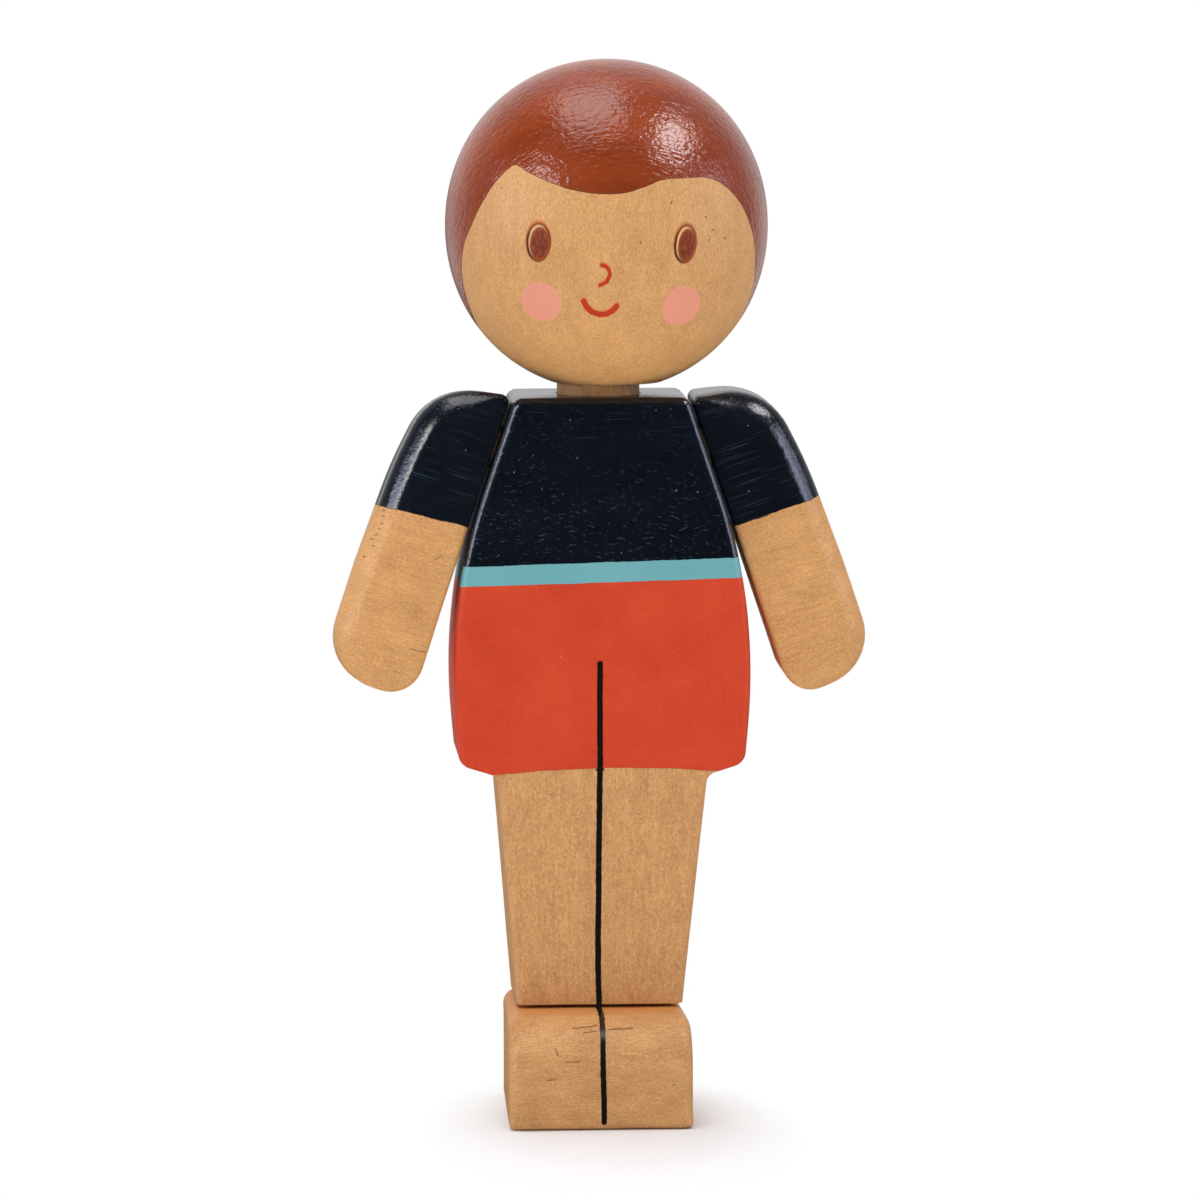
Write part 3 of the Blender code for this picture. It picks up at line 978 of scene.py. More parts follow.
def lofted(
    outline: list[Vector],
    thickness: float,
    radius_at: AtPoint,
    steps: int,
    flatness: float = 0.0,
) -> bmesh.types.BMesh:
    """Loft a board's shape through insets of its outline, which rounds its edges.

    Args:
        outline: The outline's points, whose second number is a height.
        thickness: The board's thickness along y.
        radius_at: Gives the edge's radius at a point of the outline.
        steps: How many facets an edge's rounding has.
        flatness: How nearly the edge is a flat chamfer, from 0, a quarter circle, to 1.

    Returns:
        The closed mesh.
    """
    count = len(outline)
    bm = bmesh.new()
    rings = []
    inward = []
    for i in range(count):
        along = outline[(i + 1) % count] - outline[i - 1]
        inward.append(Vector((-along.y, along.x)).normalized())
    quarter = math.radians(90)
    for side in (-1, 1):
        for k in range(steps + 1):
            angle = quarter * k / steps
            angle = quarter - angle if side < 0 else angle
            share = angle / quarter
            ring = []
            for point, normal in zip(outline, inward):
                radius = radius_at(point)
                inwards = (1 - flatness) * (1 - math.cos(angle)) + flatness * share
                across = (1 - flatness) * (1 - math.sin(angle)) + flatness * (1 - share)
                inset = point + normal * radius * inwards
                depth = thickness / 2 - radius * across
                ring.append(bm.verts.new((inset.x, side * depth, inset.y)))
            rings.append(ring)
    for near, far in zip(rings, rings[1:]):
        for i in range(count):
            bm.faces.new((near[i - 1], near[i], far[i], far[i - 1]))
    bm.faces.new(rings[0])
    bm.faces.new(rings[-1])
    bmesh.ops.recalc_face_normals(bm, faces=bm.faces)
    return bm


def bevelled(
    outline: list[Vector], thickness: float, share_at: AtPoint, radius: float, turn: Matrix
) -> bmesh.types.BMesh:
    """Saw an outline from a board and round its edges with a router.

    Args:
        outline: The outline's points.
        thickness: The board's thickness.
        share_at: Gives the share of the radius that an edge's middle takes.
        radius: The greatest radius of an edge.
        turn: Takes the outline's plane and the board's thickness to the piece's coordinates.

    Returns:
        The closed mesh.
    """
    bm = bmesh.new()
    faces = []
    for side in (-1, 1):
        verts = [bm.verts.new((p.x, p.y, side * thickness / 2)) for p in outline]
        faces.append(verts)
        bm.faces.new(verts)
    count = len(outline)
    for i in range(count):
        bm.faces.new((faces[0][i - 1], faces[0][i], faces[1][i], faces[1][i - 1]))
    bmesh.ops.recalc_face_normals(bm, faces=bm.faces)
    weight = bm.edges.layers.float.new("bevel_weight_edge")
    for edge in bm.edges:
        first, second = (vert.co for vert in edge.verts)
        if abs(first.z - second.z) < 1e-6:
            edge[weight] = share_at((first + second) / 2)
    blank = settled("blank", bm)
    router = blank.modifiers.new("router", "BEVEL")
    router.limit_method = "WEIGHT"
    router.width = radius
    router.segments = 8
    router.use_clamp_overlap = False
    depsgraph = bpy.context.evaluated_depsgraph_get()
    routed = bpy.data.meshes.new_from_object(blank.evaluated_get(depsgraph))
    bpy.data.objects.remove(blank)
    bm = bmesh.new()
    bm.from_mesh(routed)
    bmesh.ops.remove_doubles(bm, verts=bm.verts, dist=WELD)
    bmesh.ops.transform(bm, matrix=turn, verts=bm.verts)
    bmesh.ops.recalc_face_normals(bm, faces=bm.faces)
    return bm


@dataclass
class BodyBlock(WoodenPiece):
    """The torso, hips and legs, sawn from one board and painted from the shoulders to the hem.

    Sizes are in millimetres.
    """

    thickness: float = 12.7
    top_width: float = 16.2
    side_angle: float = 18.5
    hip_width: float = 27.64
    hem_width: float = 26.6
    leg_top_width: float = 19.56
    leg_foot_width: float = 15.48
    leg_lean: float = -0.3
    leg_bottom: float = 10.45
    leg_top: float = 31.75
    hem_rise: float = 1.1
    hip_line: float = 7.1
    top: float = 67.0
    edge_radius: float = 0.9
    pin_drop: float = 5.3
    # Nearer the dowel than the solid's bore, as the dowel on the real one fills its hole
    neck_bore: float = 3.95
    pin_bore: float = 2.3
    dowel_bore: float = 1.8
    dowel_spacing: float = 8.4
    # The line drawn from the shorts to the feet
    leg_line: tuple[Point, ...] = (
        (-0.25, 42.35),
        (-0.27, 32.4),
        (-0.38, 25.0),
        (-0.49, 14.6),
        (-0.4, 10.0),
    )
    line_width: float = 0.55
    line_blot: Point = (-0.27, 32.45)
    # Each paint edge: its height at x = 0 and how much it rises towards the figure's left
    stripe_top: Point = (51.77, 0.0284)
    stripe_bottom: Point = (49.9, 0.0262)
    hem_peak: Point = (1.5, 32.6)
    hem_sag: float = 0.0045
    # Over how many millimetres a paint edge fades
    edge_softness: float = 0.07

    def corners(self) -> list[Corner]:
        """List the outline's corners as seen from the front: x, z and radius."""
        hip = self.hip_width / 2
        drop = (hip - self.top_width / 2) / math.tan(math.radians(self.side_angle))
        right = [
            (self.top_width / 2, self.top, 1.1),
            (hip, self.top - drop, 52.0),
            (hip, self.leg_top + self.hip_line, 60.0),
            (self.hem_width / 2, self.leg_top + self.hem_rise, 1.5),
            (self.leg_top_width / 2, self.leg_top, 1.0),
        ]
        left = [(-x, z, radius) for x, z, radius in reversed(right)]
        half = self.leg_foot_width / 2
        foot = [(self.leg_lean + side * half, self.leg_bottom, 0.0) for side in (1, -1)]
        return right + foot + left

    def holes(self) -> list[Hole]:
        """List the bores for the neck, the shoulder pins and the foot dowels."""
        angle = math.radians(self.side_angle)
        x = self.top_width / 2 + self.pin_drop * math.sin(angle)
        z = self.top - self.pin_drop * math.cos(angle)
        depth = (x - self.pin_bore * math.sin(angle) - self.neck_bore - 1.0) / math.cos(angle)
        bores = [Hole((0.0, 0.0, self.top), (0, 0, -1), self.neck_bore, 8.0)]
        for side in (-1, 1):
            inward = (-side * math.cos(angle), 0.0, -math.sin(angle))
            bores.append(Hole((side * x, 0.0, z), inward, self.pin_bore, depth))
            mouth = (side * self.dowel_spacing / 2, 0.0, self.leg_bottom)
            bores.append(Hole(mouth, (0, 0, 1), self.dowel_bore, 5.0))
        return bores

    def build(self) -> bpy.types.Object:
        """Saw, round, sand and drill the block.

        Returns:
            The body's object.
        """
        upright = Matrix.Rotation(math.radians(90), 4, "X")

        def share_at(middle: Vector) -> float:
            """Keep the legs' sawn ends sharp and round every other edge in full."""
            return 0.0 if middle.y < self.leg_bottom + 0.01 else 1.0

        outline = rounded(self.corners(), 1.2)
        solid = self.shape(bevelled(outline, self.thickness, share_at, self.edge_radius, upright))
        self.bore(solid, self.holes())
        self.sand(solid, 1.9, (0, 2))
        return solid

    def dress(self) -> bpy.types.Material:
        """Stain the wood and paint the torso, the waist stripe, the shorts and the leg line.

        Returns:
            The material.
        """
        # Smooth pale legs under three enamels: matt red, even teal and wet navy
        name = "Beech, sawn, stained and enamelled by brush"
        material, sheet, place = start_material(name)
        grain = StainedBeech(
            fibres=Run.UPRIGHT, dashes=Run.ACROSS, dash_share=0.34, mottle=2.4, mottling=0.5
        )
        wood = grain.lay(sheet, place)
        shaken = sheet.shaken(place, 4.0, 0.05)
        ragged = sheet.shaken(shaken, 0.45, 0.03)
        x = sheet.add("SeparateXYZ", {0: ragged}, "X")
        z = x.node.outputs["Z"]

        aside = sheet.add("Math", {0: x, 1: -self.hem_peak[0] * MM}, operation="ADD")
        squared = sheet.add("Math", {0: aside, 1: aside}, operation="MULTIPLY")
        sag = sheet.add("Math", {0: squared, 1: self.hem_sag / MM}, operation="MULTIPLY")
        hem = sheet.add("Math", {0: self.hem_peak[1] * MM, 1: sag}, operation="SUBTRACT")
        shorts = POPPY.lay(sheet, place, wood)
        dust = sheet.flecks(place, 0.1, 0.1, Run.EVEN, 9.0, 0.13)
        shorts = shorts.inked(sheet, SHORTS_DUST, dust, 0.7)
        layer = wood.under(sheet, shorts, sheet.within(hem, z, self.edge_softness))

        front = sheet.from_front(ragged)
        line = sheet.within(sheet.stroke(front, self.leg_line), self.line_width * MM / 2, 0.06)
        blotted = sheet.spot(front, self.line_blot, (0.42, 0.16), (0.9, 1.1))
        line = sheet.add("Math", {0: line, 1: blotted}, operation="MAXIMUM")
        layer = black_ink(sheet, layer, line)

        teal = TEAL.lay(sheet, place, wood)
        stripe = sheet.above(x, z, self.stripe_bottom, self.edge_softness)
        layer = layer.under(sheet, teal, stripe)
        navy = self.scuffed(sheet, place, NAVY.lay(sheet, place, wood))
        torso = sheet.above(x, z, self.stripe_top, self.edge_softness)
        layer = layer.under(sheet, navy, torso)
        close_material(sheet, layer)
        return material

    def scuffed(self, sheet: NodeSheet, place: Wire, navy: Layer) -> Layer:
        """Add brush wisps with painted glints, fine scratches and dust to the torso's enamel.

        Args:
            sheet: The node tree.
            place: The place in metres.
            navy: The clean enamel.

        Returns:
            The enamel with its small faults.
        """
        z = sheet.add("SeparateXYZ", {0: place}, "Z")
        low = sheet.add("MapRange", {0: z, 1: 62 * MM, 2: 55 * MM, 3: 0.4, 4: 1.0})
        bent = sheet.shaken(place, 1.6, 0.35)
        glint_wisps = sheet.cloud(bent, 1.0, 0.16, Run.ACROSS, 1.0)
        glint_wisps = sheet.add("MapRange", {0: glint_wisps, 1: 0.65, 2: 0.73, 3: 0.0, 4: 1.0})
        glint_wisps = sheet.add("Math", {0: glint_wisps, 1: low}, operation="MULTIPLY")
        high = sheet.add("MapRange", {0: z, 1: 62.5 * MM, 2: 64 * MM, 3: 0.0, 4: 0.6})
        scratches = sheet.cloud(place, 5.0, 0.14, Run.ACROSS, 0.0)
        scratches = sheet.add("MapRange", {0: scratches, 1: 0.72, 2: 0.8, 3: 0.0, 4: 1.0})
        scratches = sheet.add("Math", {0: scratches, 1: high}, operation="MULTIPLY")
        marks = sheet.add("Math", {0: glint_wisps, 1: scratches}, operation="MAXIMUM")
        # Painted highlight: the brush wisps are tinted pale where their ridges would catch light,
        # and the fine scratches share that tint
        navy = navy.inked(sheet, TORSO_GLINT_AND_SCUFF, marks, 0.45)
        dust = sheet.flecks(place, 0.11, 0.11, Run.EVEN, 6.0, 0.34)
        blush = sheet.cloud(place, 1.0, 1.0, Run.EVEN, 0.0)
        dusts = {0: blush, 6: linear(COOL_DUST), 7: linear(WARM_DUST)}
        specks = sheet.add("Mix", dusts, 2, data_type="RGBA")
        navy = navy.inked(sheet, specks, dust, 0.8)
        return navy.raised(sheet, marks, 0.015)


@dataclass
class FeetBlock(WoodenPiece):
    """The feet: one block with a round toe edge, with its grain from side to side.

    Sizes are in millimetres.
    """

    # The toe's width. The sawn side is worn in towards the heel.
    width: float = 17.1
    offset: float = -0.65
    height: float = 10.15
    toe_reach: float = 14.3
    toe_radius: float = 4.7
    heel: float = 6.35
    # How much narrower the block is at the heel, as a share of its width
    taper: float = 0.055
    edge_radius: float = 1.2
    sole_share: float = 0.5
    sole_rise: float = 2.0
    dowel_spacing: float = 8.4
    dowel_bore: float = 1.8
    leg_line: tuple[Point, ...] = (
        (-0.4, 11.0),
        (-0.46, 8.6),
        (-0.53, 6.6),
        (-0.44, 2.85),
        (-0.42, 0.75),
    )
    line_width: float = 0.52
    # Fine cracks along the grain, as seen from the front
    cracks: tuple[tuple[Point, ...], ...] = (
        ((-3.9, 6.35), (-3.0, 6.4), (-2.6, 6.5)),
        ((-3.2, 9.25), (-2.1, 9.3), (-1.0, 9.42)),
        ((-2.2, 8.9), (-1.0, 9.0)),
        ((0.1, 9.1), (1.2, 9.15), (2.3, 9.2)),
        ((-4.9, 7.6), (-4.65, 6.95)),
        ((-5.6, 4.75), (-4.9, 4.75)),
    )

    def radius_at(self, point: Vector) -> float:
        """Give the edge's radius at a point of the outline: less along the sole."""
        share = min(1.0, max(0.0, point.y / self.sole_rise))
        return self.edge_radius * (self.sole_share + (1 - self.sole_share) * share)

    def build(self) -> bpy.types.Object:
        """Saw, round, sand and drill the block.

        Returns:
            The feet's object.
        """
        corners = [
            (-self.toe_reach, 0.0, 0.75),
            (self.heel, 0.0, 0.75),
            (self.heel, self.height, 1.1),
            (-self.toe_reach, self.height, self.toe_radius),
        ]
        bm = lofted(rounded(corners, 0.9), self.width, self.radius_at, steps=7)
        sideways = Matrix(((0, 1, 0, self.offset), (1, 0, 0, 0), (0, 0, 1, 0), (0, 0, 0, 1)))
        bmesh.ops.transform(bm, matrix=sideways, verts=bm.verts)
        for vert in bm.verts:
            back = (vert.co.y + self.toe_reach) / (self.toe_reach + self.heel)
            vert.co.x = self.offset + (vert.co.x - self.offset) * (1 - self.taper * back)
        solid = self.shape(bm)
        holes = []
        for side in (-1, 1):
            mouth = (side * self.dowel_spacing / 2, 0.0, self.height)
            holes.append(Hole(mouth, (0, 0, -1), self.dowel_bore, 5.0))
        self.bore(solid, holes)
        self.sand(solid, 1.4, (0, 2))
        return solid

    def dress(self) -> bpy.types.Material:
        """Stain the block, paint light onto its flat top, show its cracks and draw the line
        between the feet.

        Returns:
            The material.
        """
        # Warmer and glossier than the legs, with its fibres across and a few open cracks
        name = "Beech, sawn across and stained, with a drawn line"
        material, sheet, place = start_material(name)
        layer = StainedBeech(mottle=4.0, dash_share=0.14).lay(sheet, place)
        # Painted light: the flat top in front of the legs is tinted lighter and more orange, as if
        # lit from above and by light reflected off the legs
        y = sheet.add("SeparateXYZ", {0: place}, "Y")
        flat = sheet.add("MapRange", {0: y, 1: -10.5 * MM, 2: -8.5 * MM, 3: 0.0, 4: 0.6})
        z = y.node.outputs["Z"]
        high = sheet.add("MapRange", {0: z, 1: 9.3 * MM, 2: 9.7 * MM, 3: 0.0, 4: 1.0})
        painted_bounce = sheet.add("Math", {0: flat, 1: high}, operation="MULTIPLY")
        layer = layer.inked(sheet, PAINTED_BOUNCE_LIGHT, painted_bounce)
        front = sheet.from_front(sheet.shaken(place, 0.8, 0.04))
        crack = sheet.nearest(front, self.cracks)
        # The back has none of the front's cracks
        ahead = sheet.add("MapRange", {0: y, 1: -7.0 * MM, 2: -6.5 * MM, 3: 1.0, 4: 0.0})
        split = sheet.within(crack, 0.045 * MM, 0.07)
        split = sheet.add("Math", {0: split, 1: ahead}, operation="MULTIPLY")
        layer = layer.inked(sheet, CRACK, split, 0.7).raised(sheet, split, -0.05)
        drawn = sheet.within(sheet.stroke(front, self.leg_line), self.line_width * MM / 2, 0.06)
        close_material(sheet, black_ink(sheet, layer, drawn))
        return material


@dataclass
class Arm(WoodenPiece):
    """An arm sawn from a thinner board, nearly square inside and round outside, with a sleeve.

    Sizes are in millimetres, from the point where the pin leaves the arm's inner face: x goes
    out and z up along the arm.
    """

    side: Side = Side.LEFT
    # How far the arm is swung forward at rest, in degrees
    swing: float = 0.0
    tilt: float = 18.5
    length: float = 29.7
    width: float = 8.4
    thickness: float = 9.5
    top_slope: float = 1.2
    shoulder_width: float = 6.8
    elbow_drop: float = 9.5
    elbow_width: float = 8.05
    forearm_drop: float = 19.0
    edge_radius: float = 1.9
    inner_share: float = 0.18
    run_out: float = 4.2
    flatness: float = 0.5
    # How far the worn arm's inner face lies beyond the solid's, so that it nearly rubs the torso
    inner_reach: float = 0.3
    pin_drop: float = 5.0
    pin_bore: float = 2.3
    pin_depth: float = 4.5
    pivot: tuple[float, float, float] = (10.256, 0.0, 62.133)
    # The sleeve's lower edge: its height at the inner face and its rise for each mm outwards
    sleeve: Point = (-7.5, 0.0)
    pores: tuple[Point, ...] = ()
    cracks: tuple[tuple[Point, ...], ...] = ()

    def corners(self) -> list[Corner]:
        """List the outline's corners: x from the inner face, z from the pin, and radius."""
        run = [
            (-self.inner_reach, 0.0, 0.8),
            (-self.inner_reach, self.length, 3.1),
            (self.width, self.length, 4.9),
            (self.width, self.forearm_drop, 40.0),
            (self.elbow_width, self.elbow_drop, 40.0),
            (self.shoulder_width, self.top_slope, 6.0),
        ]
        sign = self.side.value
        return [(sign * out, self.pin_drop - drop, radius) for out, drop, radius in run[::sign]]

    def radius_at(self, point: Vector) -> float:
        """Give the edge's radius at a point of the outline: small inside, full outside."""
        share = min(1.0, max(0.0, point.x * self.side.value) / self.run_out)
        eased = share * share * (3 - 2 * share)
        return self.edge_radius * (self.inner_share + (1 - self.inner_share) * eased)

    def build(self) -> bpy.types.Object:
        """Saw, shave, drill and sand the arm and hang it at its shoulder.

        Returns:
            The arm's object.
        """
        sign = self.side.value
        outline = rounded(self.corners(), 0.9)
        bm = lofted(outline, self.thickness, self.radius_at, steps=8, flatness=self.flatness)
        solid = self.shape(bm)
        mouth = (-sign * self.inner_reach, 0.0, 0.0)
        depth = self.pin_depth + self.inner_reach
        self.bore(solid, [Hole(mouth, (sign, 0, 0), self.pin_bore, depth)])
        self.sand(solid, 1.6, (0, 2))
        solid.data.transform(self.hung())
        return solid

    def hung(self) -> Matrix:
        """Give the matrix that takes the arm's own coordinates to the frame's."""
        sign = self.side.value
        tilt = Matrix.Rotation(-sign * math.radians(self.tilt), 4, "Y")
        swung = Matrix.Rotation(-math.radians(self.swing), 4, "X")
        pivot = Vector((sign * self.pivot[0], self.pivot[1], self.pivot[2])) * MM
        return Matrix.Translation(pivot) @ tilt @ swung

    def dress(self) -> bpy.types.Material:
        """Stain the hand and forearm and paint the sleeve.

        Returns:
            The material.
        """
        # Dull cloudy wood with a row of pores, under a wet navy sleeve
        name = f"Beech, sawn, stained, with an enamelled sleeve, {self.side.word}"
        material, sheet, world_place = start_material(name)
        hung = self.hung()
        along = {
            "Vector": world_place,
            "Location": tuple(hung.translation),
            "Rotation": tuple(hung.to_euler()),
        }
        place = sheet.add("Mapping", along, vector_type="TEXTURE")
        wood = StainedBeech(light="#e4ad70", dark="#c08a54", dash_share=0.12, mottling=0.6)
        bare = wood.lay(sheet, place)
        front = sheet.from_front(place)
        for pore in self.pores:
            hole = sheet.spot(front, pore, (0.13, 0.1), (0.6, 1.2), strength=0.75)
            bare = bare.inked(sheet, ARM_PORE, hole)
        for crack in self.cracks:
            split = sheet.within(sheet.stroke(front, crack), 0.05 * MM, 0.08)
            bare = bare.inked(sheet, CRACK, split, 0.6)
        ragged = sheet.shaken(sheet.shaken(place, 3.0, 0.1), 0.4, 0.04)
        x = sheet.add("SeparateXYZ", {0: ragged}, "X")
        out = sheet.add("Math", {0: x}, operation="ABSOLUTE")
        above = sheet.above(out, x.node.outputs["Z"], self.sleeve, 0.08)
        navy = NAVY.lay(sheet, place, bare)
        # Painted highlight: pale streaks along the brush marks stand in for the light they catch,
        # over the sleeve's scuffs
        marks = sheet.cloud(place, 4.0, 0.14, Run.ACROSS, 1.0)
        marks = sheet.add("MapRange", {0: marks, 1: 0.61, 2: 0.78, 3: 0.0, 4: 0.4})
        navy = navy.inked(sheet, SLEEVE_GLINT_AND_SCUFF, marks)
        dust = sheet.flecks(place, 0.12, 0.12, Run.EVEN, 7.0, 0.25)
        navy = navy.inked(sheet, SLEEVE_DUST, dust, 0.7).raised(sheet, marks, 0.02)
        close_material(sheet, bare.under(sheet, navy, above))
        return material


@dataclass(frozen=True)
class Eye:
    """A printed eye: its rim and, inside, its fill, which leaves a light crescent."""

    centre: Point
    half: Point
    fill_centre: Point
    fill_half: Point
    tilt: float


@dataclass
class Head(WoodenPiece):
    """The turned ball, with hair in chestnut enamel and a printed face.

    Sizes are in millimetres, from the ball's middle.
    """

    half_width: float = 15.0
    half_height: float = 15.4
    fullness: float = 2.04
    flat_width: float = 10.2
    offset: float = 0.8
    centre_height: float = 82.59
    neck_bore: float = 4.15
    neck_depth: float = 8.0
    # How many rows of faces the ball has from its top to its flat, and how many go round it
    rings: int = 110
    sides: int = 160
    # The hairline round the face's centre, which lies this far below the ball's front, in
    # degrees. Each point: the turn from straight up towards the figure's left, and the reach.
    face_drop: float = 27.0
    hairline: tuple[Point, ...] = (
        (-180.0, 105.0),
        (-157.7, 91.2),
        (-140.2, 80.1),
        (-126.9, 71.9),
        (-115.4, 66.2),
        (-98.5, 65.7),
        (-82.7, 65.2),
        (-71.7, 63.8),
        (-61.2, 64.0),
        (-51.6, 64.8),
        (-41.3, 64.9),
        (-36.1, 56.8),
        (-29.5, 50.2),
        (-20.9, 44.9),
        (-8.3, 41.6),
        (3.0, 41.4),
        (11.8, 43.7),
        (22.5, 49.0),
        (32.1, 53.1),
        (43.5, 59.1),
        (50.5, 61.1),
        (59.1, 62.3),
        (75.9, 62.9),
        (93.9, 62.9),
        (106.7, 64.6),
        (114.5, 65.7),
        (126.9, 71.9),
        (140.2, 80.1),
        (157.7, 91.2),
        (180.0, 105.0),
    )
    # Which point of the hairline is the pointed peak over the figure's right eye
    hair_peak: int = 10
    eyes: tuple[Eye, ...] = (
        Eye((-7.02, -0.75), (1.1, 1.82), (-6.92, -0.92), (0.87, 1.56), 2.0),
        Eye((6.36, -0.96), (1.06, 1.81), (6.5, -1.12), (0.83, 1.54), 6.0),
    )
    nose: tuple[Point, ...] = (
        (-1.35, -2.8),
        (-1.0, -2.87),
        (-0.7, -3.19),
        (-0.59, -3.7),
        (-0.89, -4.36),
        (-1.48, -4.65),
    )
    mouth: tuple[Point, ...] = (
        (-2.91, -6.15),
        (-2.65, -6.69),
        (-2.19, -7.14),
        (-1.41, -7.4),
        (-0.78, -7.33),
        (-0.24, -7.0),
        (0.08, -6.6),
    )
    cheeks: tuple[tuple[Point, Point, float], ...] = (
        ((-6.7, -6.3), (1.68, 1.92), -40.0),
        ((6.1, -6.72), (1.7, 1.92), 40.0),
    )
    pores: tuple[Point, ...] = (
        (8.33, 1.41),
        (9.0, 0.19),
        (8.62, -0.7),
        (10.18, -0.6),
        (2.2, -0.75),
    )

    def build(self) -> bpy.types.Object:
        """Turn, sand and drill the ball.

        Returns:
            The head's object, whose origin is the ball's middle.
        """
        flat_share = 1 - (self.flat_width / 2 / self.half_width) ** self.fullness
        flat_drop = self.half_height * flat_share ** (1 / self.fullness)
        lowest = math.asin(flat_drop / self.half_height)
        rings = self.rings
        sides = self.sides
        bm = bmesh.new()
        pole = bm.verts.new((0.0, 0.0, self.half_height))
        rows = []
        for k in range(1, rings + 1):
            angle = math.pi / 2 - (math.pi / 2 + lowest) * k / rings
            z = self.half_height * math.sin(angle)
            share = abs(z / self.half_height) ** self.fullness
            radius = self.half_width * (1 - share) ** (1 / self.fullness)
            turns = [2 * math.pi * i / sides for i in range(sides)]
            row = [(radius * math.cos(turn), radius * math.sin(turn), z) for turn in turns]
            rows.append([bm.verts.new(spot) for spot in row])
        for i in range(sides):
            bm.faces.new((pole, rows[0][i - 1], rows[0][i]))
        for upper, lower in zip(rows, rows[1:]):
            for i in range(sides):
                bm.faces.new((upper[i - 1], lower[i - 1], lower[i], upper[i]))
        bm.faces.new(rows[-1])
        solid = self.shape(bm)
        mouth = (-self.offset, 0.0, -flat_drop)
        self.bore(solid, [Hole(mouth, (0, 0, 1), self.neck_bore, self.neck_depth)])
        self.sand(solid, 1.5, ())
        solid.location = Vector((self.offset, 0.0, self.centre_height)) * MM
        return solid

    def part_hair(self, sheet: NodeSheet, place: Wire) -> tuple[Wire, Wire]:
        """Find the hair and the way that it is brushed, in rings round the face.

        Args:
            sheet: The node tree.
            place: The place from the ball's middle.

        Returns:
            A mask that is 1 on the hair and 0 on the face, and a place that is measured round
            and away from the face.
        """
        drop = {"Vector": place, "Rotation": (-math.radians(self.face_drop), 0.0, 0.0)}
        facing = sheet.add("Mapping", drop, vector_type="POINT")
        unit = sheet.add("VectorMath", {0: facing}, operation="NORMALIZE")
        x = sheet.add("SeparateXYZ", {0: unit}, "X")
        y = x.node.outputs["Y"]
        z = x.node.outputs["Z"]
        turn = sheet.add("Math", {0: x, 1: z}, operation="ARCTAN2")
        share = sheet.add("MapRange", {0: turn, 1: -math.pi, 2: math.pi, 3: 0.0, 4: 1.0})
        ahead = sheet.add("Math", {0: y, 1: -1.0}, operation="MULTIPLY")
        reach = sheet.add("Math", {0: ahead}, operation="ARCCOSINE")
        arc = sheet.add("Math", {0: reach, 1: self.half_width * MM}, operation="MULTIPLY")
        spots = []
        for at, degrees in self.hairline:
            spots.append(((at + 180) / 360, math.radians(degrees) * self.half_width * MM))
        line = sheet.curve(share, tuple(spots), 0.0, 0.03, self.hair_peak)
        flat = sheet.add("VectorMath", {0: unit, 1: (1.0, 0.0, 1.0)}, operation="MULTIPLY")
        ring = sheet.add("VectorMath", {0: flat}, operation="NORMALIZE")
        ring = sheet.add("VectorMath", {0: ring, "Scale": self.half_width * MM}, operation="SCALE")
        away = sheet.add("CombineXYZ", {1: arc})
        brushed = sheet.add("VectorMath", {0: ring, 1: away}, operation="ADD")
        return sheet.within(line, arc, 0.09), brushed

    def print_eye(self, sheet: NodeSheet, front: Wire, below: Layer, eye: Eye) -> Layer:
        """Print one eye: an orange fringe, a brown rim, a light inside and a red-brown fill.

        Args:
            sheet: The node tree.
            front: The place, flattened onto the front.
            below: The face.
            eye: The eye's shape.

        Returns:
            The face with the eye.
        """
        inner = (eye.half[0] - 0.22, eye.half[1] - 0.23)
        raised = (eye.centre[0] - 0.02, eye.centre[1] + 0.15)
        grain = sheet.cloud(front, 0.5, 0.14, Run.UPRIGHT, 2.0)
        outer = (eye.half[0] + 0.05, eye.half[1] + 0.03)
        fringe = sheet.spot(front, raised, outer, (0.95, 1.08), eye.tilt)
        layer = below.inked(sheet, EYE_FRINGE, fringe)
        rim = sheet.spot(front, eye.centre, eye.half, (0.96, 1.05), eye.tilt)
        height = sheet.add("SeparateXYZ", {0: front}, "Z")
        top = (eye.centre[1] + eye.half[1]) * MM
        rusted = sheet.add("MapRange", {0: height, 1: top - 1.2 * MM, 2: top, 3: 0.0, 4: 0.8})
        browns = {0: rusted, 6: linear(EYE_RIM), 7: linear(EYE_RIM_TOP)}
        brown = sheet.add("Mix", browns, 2, data_type="RGBA")
        layer = layer.inked(sheet, brown, rim)
        light = sheet.spot(front, eye.centre, inner, (0.92, 1.04), eye.tilt)
        layer = layer.inked(sheet, EYE_LIGHT, light)
        fill = sheet.oval(front, eye.fill_centre, eye.fill_half, eye.tilt)
        streak = sheet.add("MapRange", {0: grain, 1: 0.42, 2: 0.66, 3: 0.0, 4: 0.55})
        rusty = sheet.add("MapRange", {0: fill, 1: 0.7, 2: 1.0, 3: 0.0, 4: 0.7})
        warm = sheet.add("Math", {0: streak, 1: rusty}, operation="MAXIMUM")
        reds = {0: warm, 6: linear(EYE_FILL), 7: linear(EYE_STREAK)}
        red = sheet.add("Mix", reds, 2, data_type="RGBA")
        fill = sheet.add("MapRange", {0: fill, 1: 0.95, 2: 1.08, 3: 1.0, 4: 0.0})
        return layer.inked(sheet, red, fill)

    def dress(self) -> bpy.types.Material:
        """Stain the face, print its features and brush on the hair.

        Returns:
            The material.
        """
